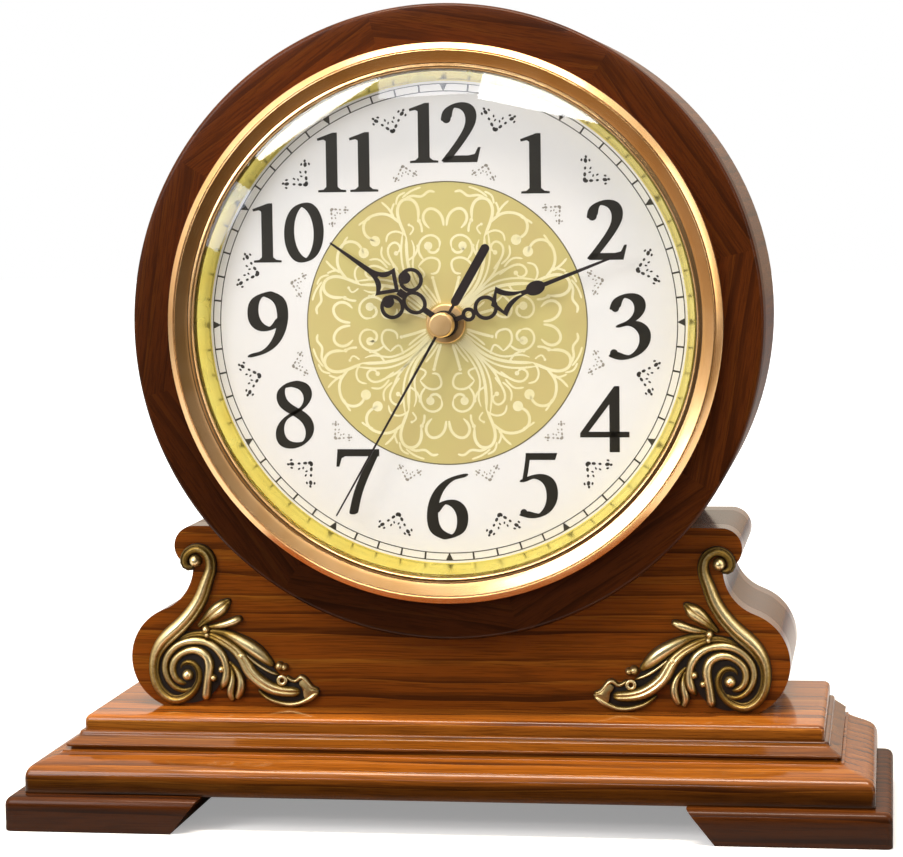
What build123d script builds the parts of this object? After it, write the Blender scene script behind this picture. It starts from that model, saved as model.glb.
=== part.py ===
from build123d import *
import os
from math import asin, atan2, cos, degrees, exp, log, radians, sin, sqrt

# Wooden mantel clock: a drum case on a scrolled waist, on a stepped plinth with two feet.
# Millimetres. The origin is on the floor under the middle of the clock. +X is to the right as seen
# from the front, +Y goes to the back and +Z is up. "Ahead" counts from the middle plane to the front.

# Overall sizes
clock_width = 300.0
clock_depth = 110.0

# Feet, one mitred block at each end
foot_height = 12.0
foot_edge_round = 2.2
foot_gap_at_floor = 184.2
foot_gap_at_top = 165.0

# Lower plinth board: an upright face, a rounded edge and a slope with a thin lip
lower_inset = 5.6
lower_face_height = 8.9
lower_edge_round = 2.2
lower_slope_run = 10.4
lower_slope_rise = 3.5
lower_lip_height = 0.8

# Middle moulding: a shadow groove, a thin bead, a slope and a rounded lip
groove_depth = 2.4
groove_height = 1.1
bead_out = 1.4
bead_height = 1.0
middle_slope_run = 4.2
middle_slope_rise = 2.6
middle_lip_height = 1.4
middle_lip_round = 0.9

# Top plinth board
top_ledge = 1.4
top_height = 5.2
top_edge_round = 1.6

# Waist: two scroll-cut panels joined by bent sides
waist_setback = 43.0
panel_thickness = 12.0
side_wall = 4.0
lobe_step = 5.0
lobe_rise = 16.9
lobe_radius = 18.3
neck_radius = 16.5
neck_start_angle = 69.9
head_radius = 7.1
head_rise = 56.6
head_gap = 12.99
head_angle = 40.2
cradle_clearance = 0.1

# Drum case
drum_radius = 107.7
drum_edge_round = 1.6
ring_thickness = 17.0
ring_ledge_thickness = 6.5
ring_ledge_width = 10.0
shell_wall = 10.0
cover_thickness = 4.0
cover_rebate = 6.3
access_radius = 60.0

# Bezel, glass and the conical ring between the glass and the dial
ring_margin = 13.1
bezel_width = 9.1
bezel_height = 6.0
bezel_bead_width = 1.3
bezel_bead_height = 1.9
bezel_crown_width = 4.1
bezel_groove_width = 0.9
bezel_groove_depth = 2.4
bezel_inner_bead_width = 2.4
bezel_inner_bead_depth = 1.0
bezel_spigot = 3.0
bezel_spigot_wall = 2.1
glass_thickness = 2.0
glass_dome = 6.0
glass_lip = 2.4
cone_run = 3.5
cone_wall = 0.9
cone_flange = 1.0

# Dial
dial_thickness = 0.5
backing_thickness = 3.0
seat_clearance = 0.2

# Fits
press_gap = 0.02
running_gap = 0.05
screw_gap = 0.05
overrun = 1.0
edge_reach = 0.1

# Screws
wood_screw_shank = 1.75
wood_screw_head = 3.6
wood_screw_head_height = 2.0
wood_screw_sink = 0.3
foot_screw_length = 22.0
plinth_screw_length = 40.0
plinth_screw_out = 60.0
foot_screw_front_share = 0.3
cover_screw_shank = 1.4
cover_screw_head = 2.7
cover_screw_head_height = 1.6
cover_screw_length = 14.0
cover_screw_count = 4

# Movement case, a square box of two shells with a round threaded stub
movement_depth = 16.5
movement_corner = 3.0
movement_wall = 1.5
movement_floor = 1.4
front_shell_depth = 8.0
stub_radius = 4.0
stub_rise = 2.6
nut_radius = 6.7
nut_thickness = 2.0
nut_edge_round = 0.5
pivot_depth = 0.9
post_radius = 1.2
partition_thickness = 1.0

# Battery, one AA cell
battery_radius = 7.1
battery_length = 49.2
battery_nub_radius = 2.75
battery_nub_length = 1.2
battery_room = 0.15
battery_end_room = 0.4
battery_edge_round = 0.6
contact_thickness = 0.4
contact_width = 5.0
contact_height = 20.0
contact_room = 0.5

# Wheels of the train and of the motion work
wheel_thickness = 0.8
axial_play = 0.3
pinion_lap = 0.1
addendum_share = 0.85
dedendum_share = 1.2
tooth_root_share = 0.27
tooth_tip_share = 0.09
centre_module = 0.32
second_module = 0.45
rotor_module = 0.3
motion_module = 0.5
rotor_teeth = 6
intermediate_teeth = 36
intermediate_pinion_teeth = 6
second_teeth = 30
second_pinion_teeth = 8
third_teeth = 60
third_pinion_teeth = 8
centre_teeth = 64
cannon_teeth = 12
motion_teeth = 36
motion_pinion_teeth = 10
hour_teeth = 40
third_angle = 160.0
intermediate_angle = 60.0
rotor_angle = 100.0
motion_angle = 20.0
plate_thickness = 1.0
plate_top = 16.5
plate_side_gap = 1.5
hour_tube_radius = 2.5
minute_tube_radius = 1.7
second_arbor_radius = 0.8
arbor_radius = 0.5
third_arbor_radius = 0.6
motion_arbor_radius = 1.0
clear_hole_gap = 0.35
magnet_radius = 3.0
magnet_length = 2.6
knob_radius = 7.5
knob_height = 5.0
knob_gap = 1.0
knob_flutes = 18
knob_flute_radius = 0.7

# Motor stator, coil and circuit board
stator_thickness = 1.0
stator_hole_gap = 0.35
stator_ring_width = 1.7
stator_bar = 4.0
stator_half_span = 13.0
coil_wall_gap = 0.3
coil_core_width = 3.0
coil_core_thickness = 1.0
coil_length = 20.0
coil_radius = 3.3
coil_flange_radius = 4.4
coil_flange_thickness = 0.8
bobbin_wall = 0.6
board_width = 10.0
board_height = 8.0
board_thickness = 1.0
board_wall_gap = 1.0

# Hands, drawn upright and turned to the time shown
hour_hand_angle = 305.5
minute_hand_angle = 69.0
second_hand_angle = 210.0
hand_thickness = 0.6
hour_hand_gap = 0.8
minute_hand_gap = 1.8
second_hand_gap = 1.8
hand_line = 1.25
hand_hub_radius = 4.6
spade_hollow_share = 1 / 3
spade_base_lines = 1.5
spade_barb_lines = 1 / 3
spade_tip_lines = 2.5
spade_side_lines = 1.8
hour_hand_share = 0.585
hour_link_centre = 12.6
hour_link_length = 4.4
hour_link_width = 3.8
hour_ring_centre = 18.0
hour_ring_out = 5.6
hour_ring_radius = 4.15
hour_blob_radius = 2.1
hour_blob_ahead = 2.2
hour_spade_base = 19.0
hour_spade_barb = 25.0
hour_spade_tip = 31.0
hour_spade_half_width = 5.8
hour_stem_width = 2.0
spike_tip_width = 0.6
minute_hand_share = 0.805
minute_small_ring_centre = 9.2
minute_small_ring_radius = 2.4
minute_ring_centre = 15.5
minute_ring_radius = 4.15
minute_spade_base = 17.4
minute_spade_barb = 21.2
minute_spade_tip = 31.6
minute_spade_half_width = 5.4
minute_drop_centre = 33.6
minute_drop_half_length = 3.4
minute_drop_half_width = 2.4
minute_stem_width = 1.7
second_hand_share = 0.915
second_tail_length = 31.0
second_tail_start = 7.5
second_tail_width = 3.0
second_needle_width = 1.0
second_needle_tip_width = 0.5
cap_radius = 4.2
cap_height = 4.5
cap_edge_round = 0.8

# Scroll appliques on the waist, given for the right one and mirrored for the left one
scroll_reach = 64.0
scroll_foot_gap = 0.7
scroll_relief = 4.2
leaf_relief = 2.8
rib_relief = 3.4
sheet_relief = 1.2
volute_start_angle = 75.0
volute_end_angle = -304.0
inner_rib_start_angle = 235.0
inner_rib_end_angle = -49.0
outer_rib_start_angle = 196.0
outer_rib_end_angle = 52.0
scroll_head_turn = 150.0
scroll_steps = 9

# Shares of the applique's reach: places, then the first and last radius of each spiral, then widths
scroll_overhang_share = 0.208
scroll_height_share = 0.88
volute_shift_share = 0.011
volute_rise_share = 0.1766
scroll_head_share = 0.383
volute_shares = (0.2563, 0.0563)
inner_rib_shares = (0.1641, 0.0875)
outer_rib_shares = (0.225, 0.1703)
scroll_head_radius_share = 0.0688
bead_radius_share = 0.0281
band_width_shares = (0.0594, 0.0406, 0.0344)
rib_width_shares = (0.0297, 0.025)
leaf_width_share = 0.0469

# Leaves of the applique: shares of its reach and height for each point, then of the leaf's width
leaf_shares = [
    ([(0.36, 0.50), (0.49, 0.46), (0.62, 0.40), (0.69, 0.30), (0.735, 0.24)], (0.5, 0.9, 0.8, 0.6, 0.5)),
    (
        [(0.34, 0.47), (0.48, 0.40), (0.56, 0.28), (0.64, 0.16), (0.74, 0.10), (0.86, 0.075)],
        (0.5, 0.7, 0.9, 1.0, 1.0, 0.9),
    ),
    ([(0.31, 0.50), (0.38, 0.58), (0.48, 0.67)], (0.7, 0.9, 0.35)),
    ([(0.37, 0.50), (0.45, 0.54), (0.55, 0.56)], (0.7, 0.75, 0.3)),
    ([(0.615, 0.165), (0.70, 0.04), (0.80, 0.015), (0.90, 0.03), (0.97, 0.075)], (0.5, 0.8, 0.9, 0.7, 0.5)),
    ([(0.475, 0.395), (0.49, 0.20), (0.495, 0.05)], (0.5, 0.8, 0.35)),
]
bead_shares = [(0.755, 0.235), (0.335, 0.50), (0.74, 0.155)]

# A quarter of a turn, in degrees
quarter_turn = 90.0

# Heights that follow from the boards below
lower_top = foot_height + lower_face_height + lower_slope_rise + lower_lip_height
middle_top = lower_top + groove_height + bead_height + middle_slope_rise + middle_lip_height
plinth_top_height = middle_top + top_height
lobe_height = plinth_top_height + lobe_rise
head_height = plinth_top_height + head_rise

# The drum lies between the heads of the waist, and the lobes follow the heads
head_out = (drum_radius + head_gap) * cos(radians(head_angle))
drum_axis_height = head_height + (drum_radius + head_gap) * sin(radians(head_angle))
lobe_out = head_out + lobe_step

# The applique follows the lobe, and its lines and widths follow its reach
scroll_outer = lobe_out + scroll_overhang_share * scroll_reach
scroll_foot = plinth_top_height + scroll_foot_gap
scroll_height = scroll_height_share * scroll_reach
volute_out = lobe_out - volute_shift_share * scroll_reach
volute_rise = scroll_foot + volute_rise_share * scroll_reach
volute_radii = [share * scroll_reach for share in volute_shares]
inner_rib_radii = [share * scroll_reach for share in inner_rib_shares]
outer_rib_radii = [share * scroll_reach for share in outer_rib_shares]
scroll_head_radius = scroll_head_radius_share * scroll_reach
scroll_bead_radius = bead_radius_share * scroll_reach
scroll_band_width, scroll_head_width, scroll_eye_width = (share * scroll_reach for share in band_width_shares)
inner_rib_width, outer_rib_width = (share * scroll_reach for share in rib_width_shares)
leaf_width = leaf_width_share * scroll_reach

# Radii that follow from the drum, from the ring inwards
bezel_radius = drum_radius - ring_margin
glass_radius = bezel_radius - bezel_width
dial_seat_radius = glass_radius + 2 * seat_clearance + bezel_spigot_wall
ring_ledge_bore = dial_seat_radius - ring_ledge_width
cone_inner_radius = glass_radius - cone_run

# Hands reach to a share of the open dial
hour_hand_length = hour_hand_share * cone_inner_radius
minute_hand_length = minute_hand_share * cone_inner_radius
second_hand_length = second_hand_share * cone_inner_radius

# The movement is as wide as its battery, contacts and walls need
battery_bay = battery_length + battery_nub_length + 2 * battery_end_room
inner_width = battery_bay + 2 * (contact_thickness + contact_room)
movement_width = inner_width + 2 * movement_wall
coil_height = inner_width / 2 - coil_flange_radius - coil_wall_gap
board_out = inner_width / 2 - board_width / 2 - board_wall_gap
board_rise = inner_width / 2 - board_height / 2 - board_wall_gap

# Distances ahead of the middle plane
clock_front = clock_depth / 2
clock_back = -clock_front
waist_face = clock_front - waist_setback
ring_face = waist_face + ring_thickness
backing_rear = waist_face + ring_ledge_thickness
backing_face = backing_rear + backing_thickness
dial_face = backing_face + dial_thickness
drum_bore = drum_radius - shell_wall

# Levels in the movement, counted back from the front of its case
hour_level = movement_floor + axial_play
motion_level = hour_level + wheel_thickness + axial_play
centre_level = motion_level + wheel_thickness + axial_play
plate_level = centre_level + wheel_thickness + axial_play
stator_level = plate_level + plate_thickness + axial_play
third_level = stator_level + stator_thickness + axial_play
second_level = third_level + wheel_thickness + axial_play
intermediate_level = second_level + wheel_thickness + axial_play
core_level = stator_level - coil_core_thickness
rear_floor_level = movement_depth - movement_floor
rear_pivot_level = rear_floor_level + pivot_depth - axial_play
front_pivot_level = movement_floor - pivot_depth + axial_play

# Distances ahead for the hands
nut_face = dial_face + nut_thickness
stub_face = backing_rear + backing_thickness + dial_thickness + stub_rise
hour_hand_rear = stub_face + hour_hand_gap
minute_hand_rear = hour_hand_rear + hand_thickness + minute_hand_gap
second_hand_rear = minute_hand_rear + hand_thickness + second_hand_gap


# Placing and drawing

dial_frame = Pos(0, 0, drum_axis_height) * Rot(quarter_turn, 0, 0)


def facing(sketch, rear, face):
    """A flat shape drawn as seen from the front about the dial's centre, between two distances ahead."""
    return dial_frame * (Pos(0, 0, rear) * extrude(sketch, amount=face - rear))


def in_movement(sketch, level, thickness):
    """A flat shape in the movement, from a level counted back from the front of its case."""
    return facing(sketch, backing_rear - level - thickness, backing_rear - level)


def turned(profile):
    """A profile of (radius, distance ahead) turned about the dial's axis."""
    return dial_frame * revolve(Plane.XZ * profile, Axis.Z)


def outline(corners, rounds=None):
    """A face inside straight sides. rounds gives the radius of each corner that is rounded."""
    rounds = rounds or {}
    radii = [rounds.get(i, 0) for i in range(len(corners))]
    if rounds:
        return make_face(FilletPolyline(*corners, radius=radii, close=True))
    return make_face(Polyline(*corners, close=True))


def ring(outer, inner):
    """A flat ring between two radii."""
    return Circle(outer) - Circle(inner)


def polar(radius, angle):
    """A point at a radius and an angle in degrees, counted from +X to the left."""
    return (radius * cos(radians(angle)), radius * sin(radians(angle)))


def shifted(point, other):
    """The sum of two flat points."""
    return (point[0] + other[0], point[1] + other[1])


# Boards of the plinth

def board(edge):
    """A board whose moulded edge returns round both front corners and ends square at the back.

    edge is a list of (inset, height) that climbs.
    """
    half = clock_width / 2
    left = [(-half + inset, height) for inset, height in edge]
    right = [(half - inset, height) for inset, height in reversed(edge)]
    front = [(-clock_front + inset, height) for inset, height in edge]
    back = [(clock_front, edge[-1][1]), (clock_front, edge[0][1])]
    across = extrude(Plane.XZ * outline(left + right), amount=clock_front, both=True)
    along = extrude(Plane.YZ * outline(front + back), amount=half, both=True)
    return across & along


def rounded(body, height, radius):
    """The board with the level edges at a height rounded, except at the back."""
    level = body.edges().filter_by(lambda e: abs(e.bounding_box().max.Z - height) < edge_reach)
    level = level.filter_by(lambda e: e.bounding_box().size.Z < edge_reach)
    return fillet(level.filter_by(lambda e: e.center().Y < clock_front - edge_reach), radius)


def foot():
    """The right foot: rounded along its top edge, with a sloping inner end."""
    block = rounded(board([(0, 0), (0, foot_height)]), foot_height, foot_edge_round)
    inner = [
        (foot_gap_at_floor / 2, 0),
        (clock_width, 0),
        (clock_width, foot_height),
        (foot_gap_at_top / 2, foot_height),
    ]
    keep = extrude(Plane.XZ * outline(inner), amount=clock_depth, both=True)
    return block & keep


def lower_board():
    """The lowest board of the plinth."""
    face_top = foot_height + lower_face_height
    slope_inset = lower_inset + lower_slope_run
    edge = [
        (lower_inset, foot_height),
        (lower_inset, face_top),
        (slope_inset, face_top + lower_slope_rise),
        (slope_inset, lower_top),
    ]
    return rounded(board(edge), face_top, lower_edge_round)


groove_inset = lower_inset + lower_slope_run + groove_depth
bead_inset = groove_inset - bead_out
middle_lip_inset = bead_inset + middle_slope_run
top_inset = middle_lip_inset + top_ledge


def middle_moulding():
    """The moulding between the boards, undercut by a groove."""
    groove_top = lower_top + groove_height
    bead_top = groove_top + bead_height
    edge = [
        (groove_inset, lower_top),
        (groove_inset, groove_top),
        (bead_inset, groove_top),
        (bead_inset, bead_top),
        (middle_lip_inset, bead_top + middle_slope_rise),
        (middle_lip_inset, middle_top),
    ]
    return rounded(board(edge), middle_top, middle_lip_round)


def top_board():
    """The highest board of the plinth, which carries the waist."""
    edge = [(top_inset, middle_top), (top_inset, plinth_top_height)]
    return rounded(board(edge), plinth_top_height, top_edge_round)


# Waist

def waist_half(wall):
    """The right half of the waist's outline, moved in by a wall."""
    lobe = lobe_radius - wall
    neck = neck_radius + wall
    head = head_radius - wall
    lobe_centre = (lobe_out, lobe_height)
    neck_centre = shifted(lobe_centre, polar(lobe + neck, neck_start_angle))
    head_centre = (head_out, head_height)
    # an inner lobe that ends above the plinth drops to it upright
    foot_angle = -degrees(asin(min(1, lobe_rise / lobe)))
    apart = (neck_centre[0] - head_out, neck_centre[1] - head_height)
    distance = sqrt(apart[0] ** 2 + apart[1] ** 2)
    # the cusp is where the neck's circle meets the head's, on the lower side
    reach = (distance**2 + head**2 - neck**2) / (2 * distance)
    offset = sqrt(head**2 - reach**2)
    toward = (apart[0] / distance, apart[1] / distance)
    cusp = (
        head_out + reach * toward[0] + offset * toward[1],
        head_height + reach * toward[1] - offset * toward[0],
    )
    if cusp[1] > head_height:
        cusp = (
            head_out + reach * toward[0] - offset * toward[1],
            head_height + reach * toward[1] + offset * toward[0],
        )
    neck_end = degrees(atan2(cusp[1] - neck_centre[1], cusp[0] - neck_centre[0])) % 360
    head_start = degrees(atan2(cusp[1] - head_height, cusp[0] - head_out))
    lobe_arc = CenterArc(lobe_centre, lobe, foot_angle, neck_start_angle - foot_angle)
    neck_start = neck_start_angle + 180
    neck_arc = CenterArc(neck_centre, neck, neck_start, neck_end - neck_start)
    head_arc = CenterArc(head_centre, head, head_start, quarter_turn - head_start)
    top = head_height + head
    corners = [head_arc @ 1, (0, top), (0, plinth_top_height)]
    if lobe < lobe_rise:
        corners.append((lobe_out, plinth_top_height))
    sides = Polyline(*corners, lobe_arc @ 0)
    return make_face([*lobe_arc.edges(), *neck_arc.edges(), *head_arc.edges(), *sides.edges()])


def cradle():
    """The circle that the drum lies in, in the waist's outline."""
    return Pos(0, drum_axis_height) * Circle(drum_radius + cradle_clearance)


def upright(sketch, rear, face):
    """A flat shape of (right, height) drawn as seen from the front, between two distances ahead."""
    return Pos(0, -rear, 0) * extrude(Plane.XZ * sketch, amount=face - rear)


def waist_panel(rear):
    """A scroll-cut panel whose top edge is hollowed for the drum."""
    right = waist_half(0)
    sketch = right + mirror(right, Plane.YZ) - cradle()
    return upright(sketch, rear, rear + panel_thickness)


def waist_side():
    """The bent right side between the two panels."""
    sketch = waist_half(0) - waist_half(side_wall) - cradle()
    return upright(sketch, clock_back + panel_thickness, waist_face - panel_thickness)


# Drum case

def case_ring():
    """The front ring of the drum: a seat for the dial and a bore for the bezel."""
    profile = outline(
        [
            (ring_ledge_bore, waist_face),
            (drum_radius, waist_face),
            (drum_radius, ring_face),
            (dial_seat_radius, ring_face),
            (dial_seat_radius, backing_rear),
            (ring_ledge_bore, backing_rear),
        ],
        {2: drum_edge_round},
    )
    return turned(profile)


def drum_shell():
    """The barrel behind the ring, rebated at the back for its cover."""
    rebate = clock_back + cover_thickness
    ledge = drum_bore + cover_rebate
    profile = outline(
        [
            (drum_bore, waist_face),
            (drum_radius, waist_face),
            (drum_radius, clock_back),
            (ledge, clock_back),
            (ledge, rebate),
            (drum_bore, rebate),
        ]
    )
    return turned(profile)


def back_cover():
    """The round back board, with a hole for the hand that changes the battery."""
    outer = drum_bore + cover_rebate - seat_clearance
    return facing(ring(outer, access_radius), clock_back, clock_back + cover_thickness)


# Bezel, glass and dial

def bezel():
    """The turned brass bezel: a bead, a crowned ring, a groove and a finer bead."""
    seat = ring_face
    bead_in = bezel_radius - bezel_bead_width
    crown_in = bead_in - bezel_crown_width
    groove_in = crown_in - bezel_groove_width
    bead_top = seat + bezel_bead_height
    crown_top = seat + bezel_height
    groove_low = crown_top - bezel_groove_depth
    inner_top = crown_top - bezel_inner_bead_depth
    inner_in = groove_in - bezel_inner_bead_width
    bore = glass_radius + seat_clearance
    spigot_out = dial_seat_radius - seat_clearance
    spigot_end = seat - bezel_spigot
    middle = (crown_in + bead_in) / 2
    edges = [
        Line((bezel_radius, seat), (bezel_radius, seat + bezel_bead_height / 2)),
        ThreePointArc(
            (bezel_radius, seat + bezel_bead_height / 2),
            ((bezel_radius + bead_in) / 2, bead_top),
            (bead_in, seat + bezel_bead_height / 2),
        ),
        ThreePointArc(
            (bead_in, seat + bezel_bead_height / 2), (middle, crown_top), (crown_in, groove_low)
        ),
        Line((crown_in, groove_low), (groove_in, groove_low)),
        ThreePointArc(
            (groove_in, groove_low), ((groove_in + inner_in) / 2, inner_top), (inner_in, groove_low)
        ),
        Polyline(
            (inner_in, groove_low),
            (bore, groove_low),
            (bore, spigot_end),
            (spigot_out, spigot_end),
            (spigot_out, seat),
            (bezel_radius, seat),
        ),
    ]
    return turned(make_face([e for line in edges for e in line.edges()]))


glass_rear = ring_face + bezel_height - bezel_groove_depth - glass_lip
glass_edge_face = glass_rear + glass_thickness
glass_centre_face = glass_edge_face + glass_dome


def half_dome(rear, centre):
    """One half of a domed line from the glass's edge to the axis."""
    edge = (glass_radius, rear)
    far_edge = (-glass_radius, rear)
    return ThreePointArc(edge, (0, centre), far_edge).trim(0, 1 / 2)


def glass_lens():
    """The domed glass."""
    front = half_dome(glass_edge_face, glass_centre_face)
    rear = half_dome(glass_rear, glass_centre_face - glass_thickness)
    rim = Line((glass_radius, glass_rear), (glass_radius, glass_edge_face))
    axis = Line((0, glass_centre_face - glass_thickness), (0, glass_centre_face))
    return turned(make_face([*front.edges(), *rear.edges(), *rim.edges(), *axis.edges()]))


def dial_cone():
    """The polished cone between the glass and the dial."""
    top = glass_rear
    profile = [
        (glass_radius, top),
        (glass_radius - cone_flange, top),
        (cone_inner_radius, dial_face),
        (cone_inner_radius + cone_wall, dial_face),
        (glass_radius, top - cone_wall),
    ]
    return turned(outline(profile))


def dial():
    """The printed dial disc."""
    outer = dial_seat_radius - seat_clearance
    return facing(ring(outer, stub_radius + running_gap), backing_face, dial_face)


def dial_backing():
    """The board behind the dial, which carries the movement."""
    outer = dial_seat_radius - seat_clearance
    return facing(ring(outer, stub_radius + running_gap), backing_rear, backing_face)


# Screws

def screw(head, head_height, shank, length, grow=0.0):
    """A countersunk screw with its head's face at the origin and its shank along +Z."""
    profile = outline(
        [
            (0, 0),
            (head + grow, 0),
            (shank + grow, head_height + grow),
            (shank + grow, length - shank + grow),
            (0, length + grow),
        ]
    )
    return revolve(Plane.XZ * profile, Axis.Z)


def wood_screw(length, grow=0.0):
    """A wood screw for the plinth."""
    return screw(wood_screw_head, wood_screw_head_height, wood_screw_shank, length, grow)


def wood_screw_hole(length):
    """What a wood screw's hole removes, open below its head."""
    mouth = Pos(0, 0, -overrun) * extrude(
        Circle(wood_screw_head + screw_gap), amount=overrun
    )
    return wood_screw(length, screw_gap) + mouth


def foot_screw_places():
    """The heads of the screws that hold the feet."""
    out = (clock_width / 2 + foot_gap_at_floor / 2) / 2
    deep = clock_depth * foot_screw_front_share
    return [Pos(x, y, wood_screw_sink) for x in (-out, out) for y in (-deep, deep)]


def plinth_screw_places():
    """The heads of the long screws that run up through the plinth into the waist's panels."""
    front = -waist_face + panel_thickness / 2
    rear = clock_front - panel_thickness / 2
    height = foot_height + wood_screw_sink
    out = plinth_screw_out
    return [Pos(x, y, height) for x in (-out, out) for y in (front, rear)]


def cover_screw_places():
    """The heads of the screws round the back cover, in the middle of its ledge."""
    middle = drum_bore + cover_rebate / 2
    turn = 360 / cover_screw_count
    angles = [turn * (i + 1 / 2) for i in range(cover_screw_count)]
    return [dial_frame * Pos(*polar(middle, a), clock_back) for a in angles]


def cover_screw(grow=0.0):
    """A small screw for the back cover."""
    return screw(
        cover_screw_head, cover_screw_head_height, cover_screw_shank, cover_screw_length, grow
    )


def cover_screw_hole():
    """What a cover screw's hole removes, open behind its head."""
    mouth = Pos(0, 0, -overrun) * extrude(
        Circle(cover_screw_head + screw_gap), amount=overrun
    )
    return cover_screw(screw_gap) + mouth


# Movement

third_distance = centre_module * (third_pinion_teeth + centre_teeth) / 2
third_module = 2 * third_distance / (second_pinion_teeth + third_teeth)
intermediate_distance = second_module * (intermediate_pinion_teeth + second_teeth) / 2
rotor_distance = rotor_module * (rotor_teeth + intermediate_teeth) / 2
motion_distance = motion_module * (cannon_teeth + motion_teeth) / 2
hour_module = 2 * motion_distance / (motion_pinion_teeth + hour_teeth)
third_place = polar(third_distance, third_angle)
intermediate_place = polar(intermediate_distance, intermediate_angle)
rotor_place = shifted(intermediate_place, polar(rotor_distance, rotor_angle))
motion_place = polar(motion_distance, motion_angle)

bay_ceiling = -movement_width / 2 + movement_wall + 2 * (battery_radius + battery_room)
battery_height = bay_ceiling - battery_radius - battery_room
partition_height = bay_ceiling + partition_thickness / 2
battery_level = movement_floor + battery_room + battery_radius


def toothed(teeth, module, place, toward, gap_toward=False):
    """A gear's face at a place, with a tooth, or a gap, on the line at an angle to its partner.

    The teeth are straight-sided and thinner than the gaps, so that the mesh has play.
    """
    pitch_radius = module * teeth / 2
    tip = pitch_radius + addendum_share * module
    root = pitch_radius - dedendum_share * module
    pitch = 360 / teeth
    first = toward + (pitch / 2 if gap_toward else 0)
    corners = []
    for i in range(teeth):
        middle = first + i * pitch
        corners += [
            polar(root, middle - pitch * tooth_root_share),
            polar(tip, middle - pitch * tooth_tip_share),
            polar(tip, middle + pitch * tooth_tip_share),
            polar(root, middle + pitch * tooth_root_share),
        ]
    return Pos(*place) * outline(corners)


def disc(place, radius):
    """A circle at a place in the movement."""
    return Pos(*place) * Circle(radius)


def case_square(inset):
    """The movement case's rounded square, moved in by an inset."""
    side = movement_width - 2 * inset
    return RectangleRounded(side, side, movement_corner - inset)


def partition(from_level, depth):
    """The wall between the battery and the wheels, short enough for the contacts to pass its ends."""
    long = inner_width - 4 * contact_thickness
    bar = Pos(0, partition_height) * Rectangle(long, partition_thickness)
    return in_movement(bar, from_level, depth)


def board_post_places():
    """The posts under two corners of the circuit board."""
    side = board_width / 2 - post_radius
    up = board_height / 2 - post_radius
    return [(-board_out - side, board_rise - up), (-board_out + side, board_rise + up)]


def core_post_places():
    """The posts under the ends of the coil's core."""
    middle = rotor_place[0]
    return [(middle - stator_half_span, coil_height), (middle + stator_half_span, coil_height)]


def plate_post_places():
    """The posts under the corners of the train plate."""
    out = inner_width / 2 - plate_side_gap - post_radius
    low = partition_height + partition_thickness + post_radius
    high = plate_top - post_radius
    return [(x, z) for x in (-out, out) for z in (low, high)]


def front_pivots():
    """The blind holes in the front floor: (place, radius)."""
    return [(third_place, third_arbor_radius), (motion_place, motion_arbor_radius)]


def rear_pivots():
    """The blind holes in the rear floor: (place, radius)."""
    return [
        ((0, 0), second_arbor_radius),
        (third_place, third_arbor_radius),
        (intermediate_place, arbor_radius),
        (rotor_place, arbor_radius),
    ]


def movement_case_front():
    """The front shell with its threaded stub, its posts and its bearings."""
    body = in_movement(case_square(0), 0, front_shell_depth)
    body -= in_movement(case_square(movement_wall), movement_floor, front_shell_depth)
    body += facing(Circle(stub_radius), backing_rear - movement_floor, stub_face)
    bore = hour_tube_radius + running_gap
    body -= facing(Circle(bore), backing_rear - movement_floor - overrun, stub_face + overrun)
    body += partition(movement_floor, front_shell_depth - movement_floor)
    for place in board_post_places():
        body += in_movement(disc(place, post_radius), movement_floor, stator_level - movement_floor)
    for place in core_post_places():
        body += in_movement(disc(place, post_radius), movement_floor, core_level - movement_floor)
    for place in plate_post_places():
        body += in_movement(disc(place, post_radius), movement_floor, plate_level - movement_floor)
    for place, radius in front_pivots():
        hole = disc(place, radius + running_gap)
        body -= in_movement(hole, movement_floor - pivot_depth, pivot_depth)
    return body


def movement_case_back():
    """The rear shell, with the open bay that the battery is clipped into."""
    depth = movement_depth - front_shell_depth
    body = in_movement(case_square(0), front_shell_depth, depth)
    body -= in_movement(case_square(movement_wall), front_shell_depth, depth - movement_floor)
    body += partition(front_shell_depth, depth - movement_floor)
    mouth = Pos(0, battery_height) * Rectangle(battery_bay, 2 * (battery_radius + battery_room))
    body -= in_movement(mouth, rear_floor_level - overrun, movement_floor + 2 * overrun)
    for place, radius in rear_pivots():
        body -= in_movement(disc(place, radius + running_gap), rear_floor_level, pivot_depth)
    passage = disc(motion_place, motion_arbor_radius + running_gap)
    body -= in_movement(passage, rear_floor_level - overrun, movement_floor + 2 * overrun)
    return body


def train_plate():
    """The plate between the motion work and the train."""
    out = inner_width / 2 - plate_side_gap
    low = partition_height + partition_thickness
    sketch = Pos(0, (low + plate_top) / 2) * Rectangle(2 * out, plate_top - low)
    sketch -= Circle(second_arbor_radius + running_gap)
    pinion_tip = centre_module * (third_pinion_teeth / 2 + addendum_share)
    sketch -= disc(third_place, pinion_tip + clear_hole_gap)
    sketch -= disc(motion_place, motion_arbor_radius + clear_hole_gap)
    sketch -= disc(intermediate_place, arbor_radius + running_gap)
    sketch -= disc(rotor_place, arbor_radius + running_gap)
    return in_movement(sketch, plate_level, plate_thickness)


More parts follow.
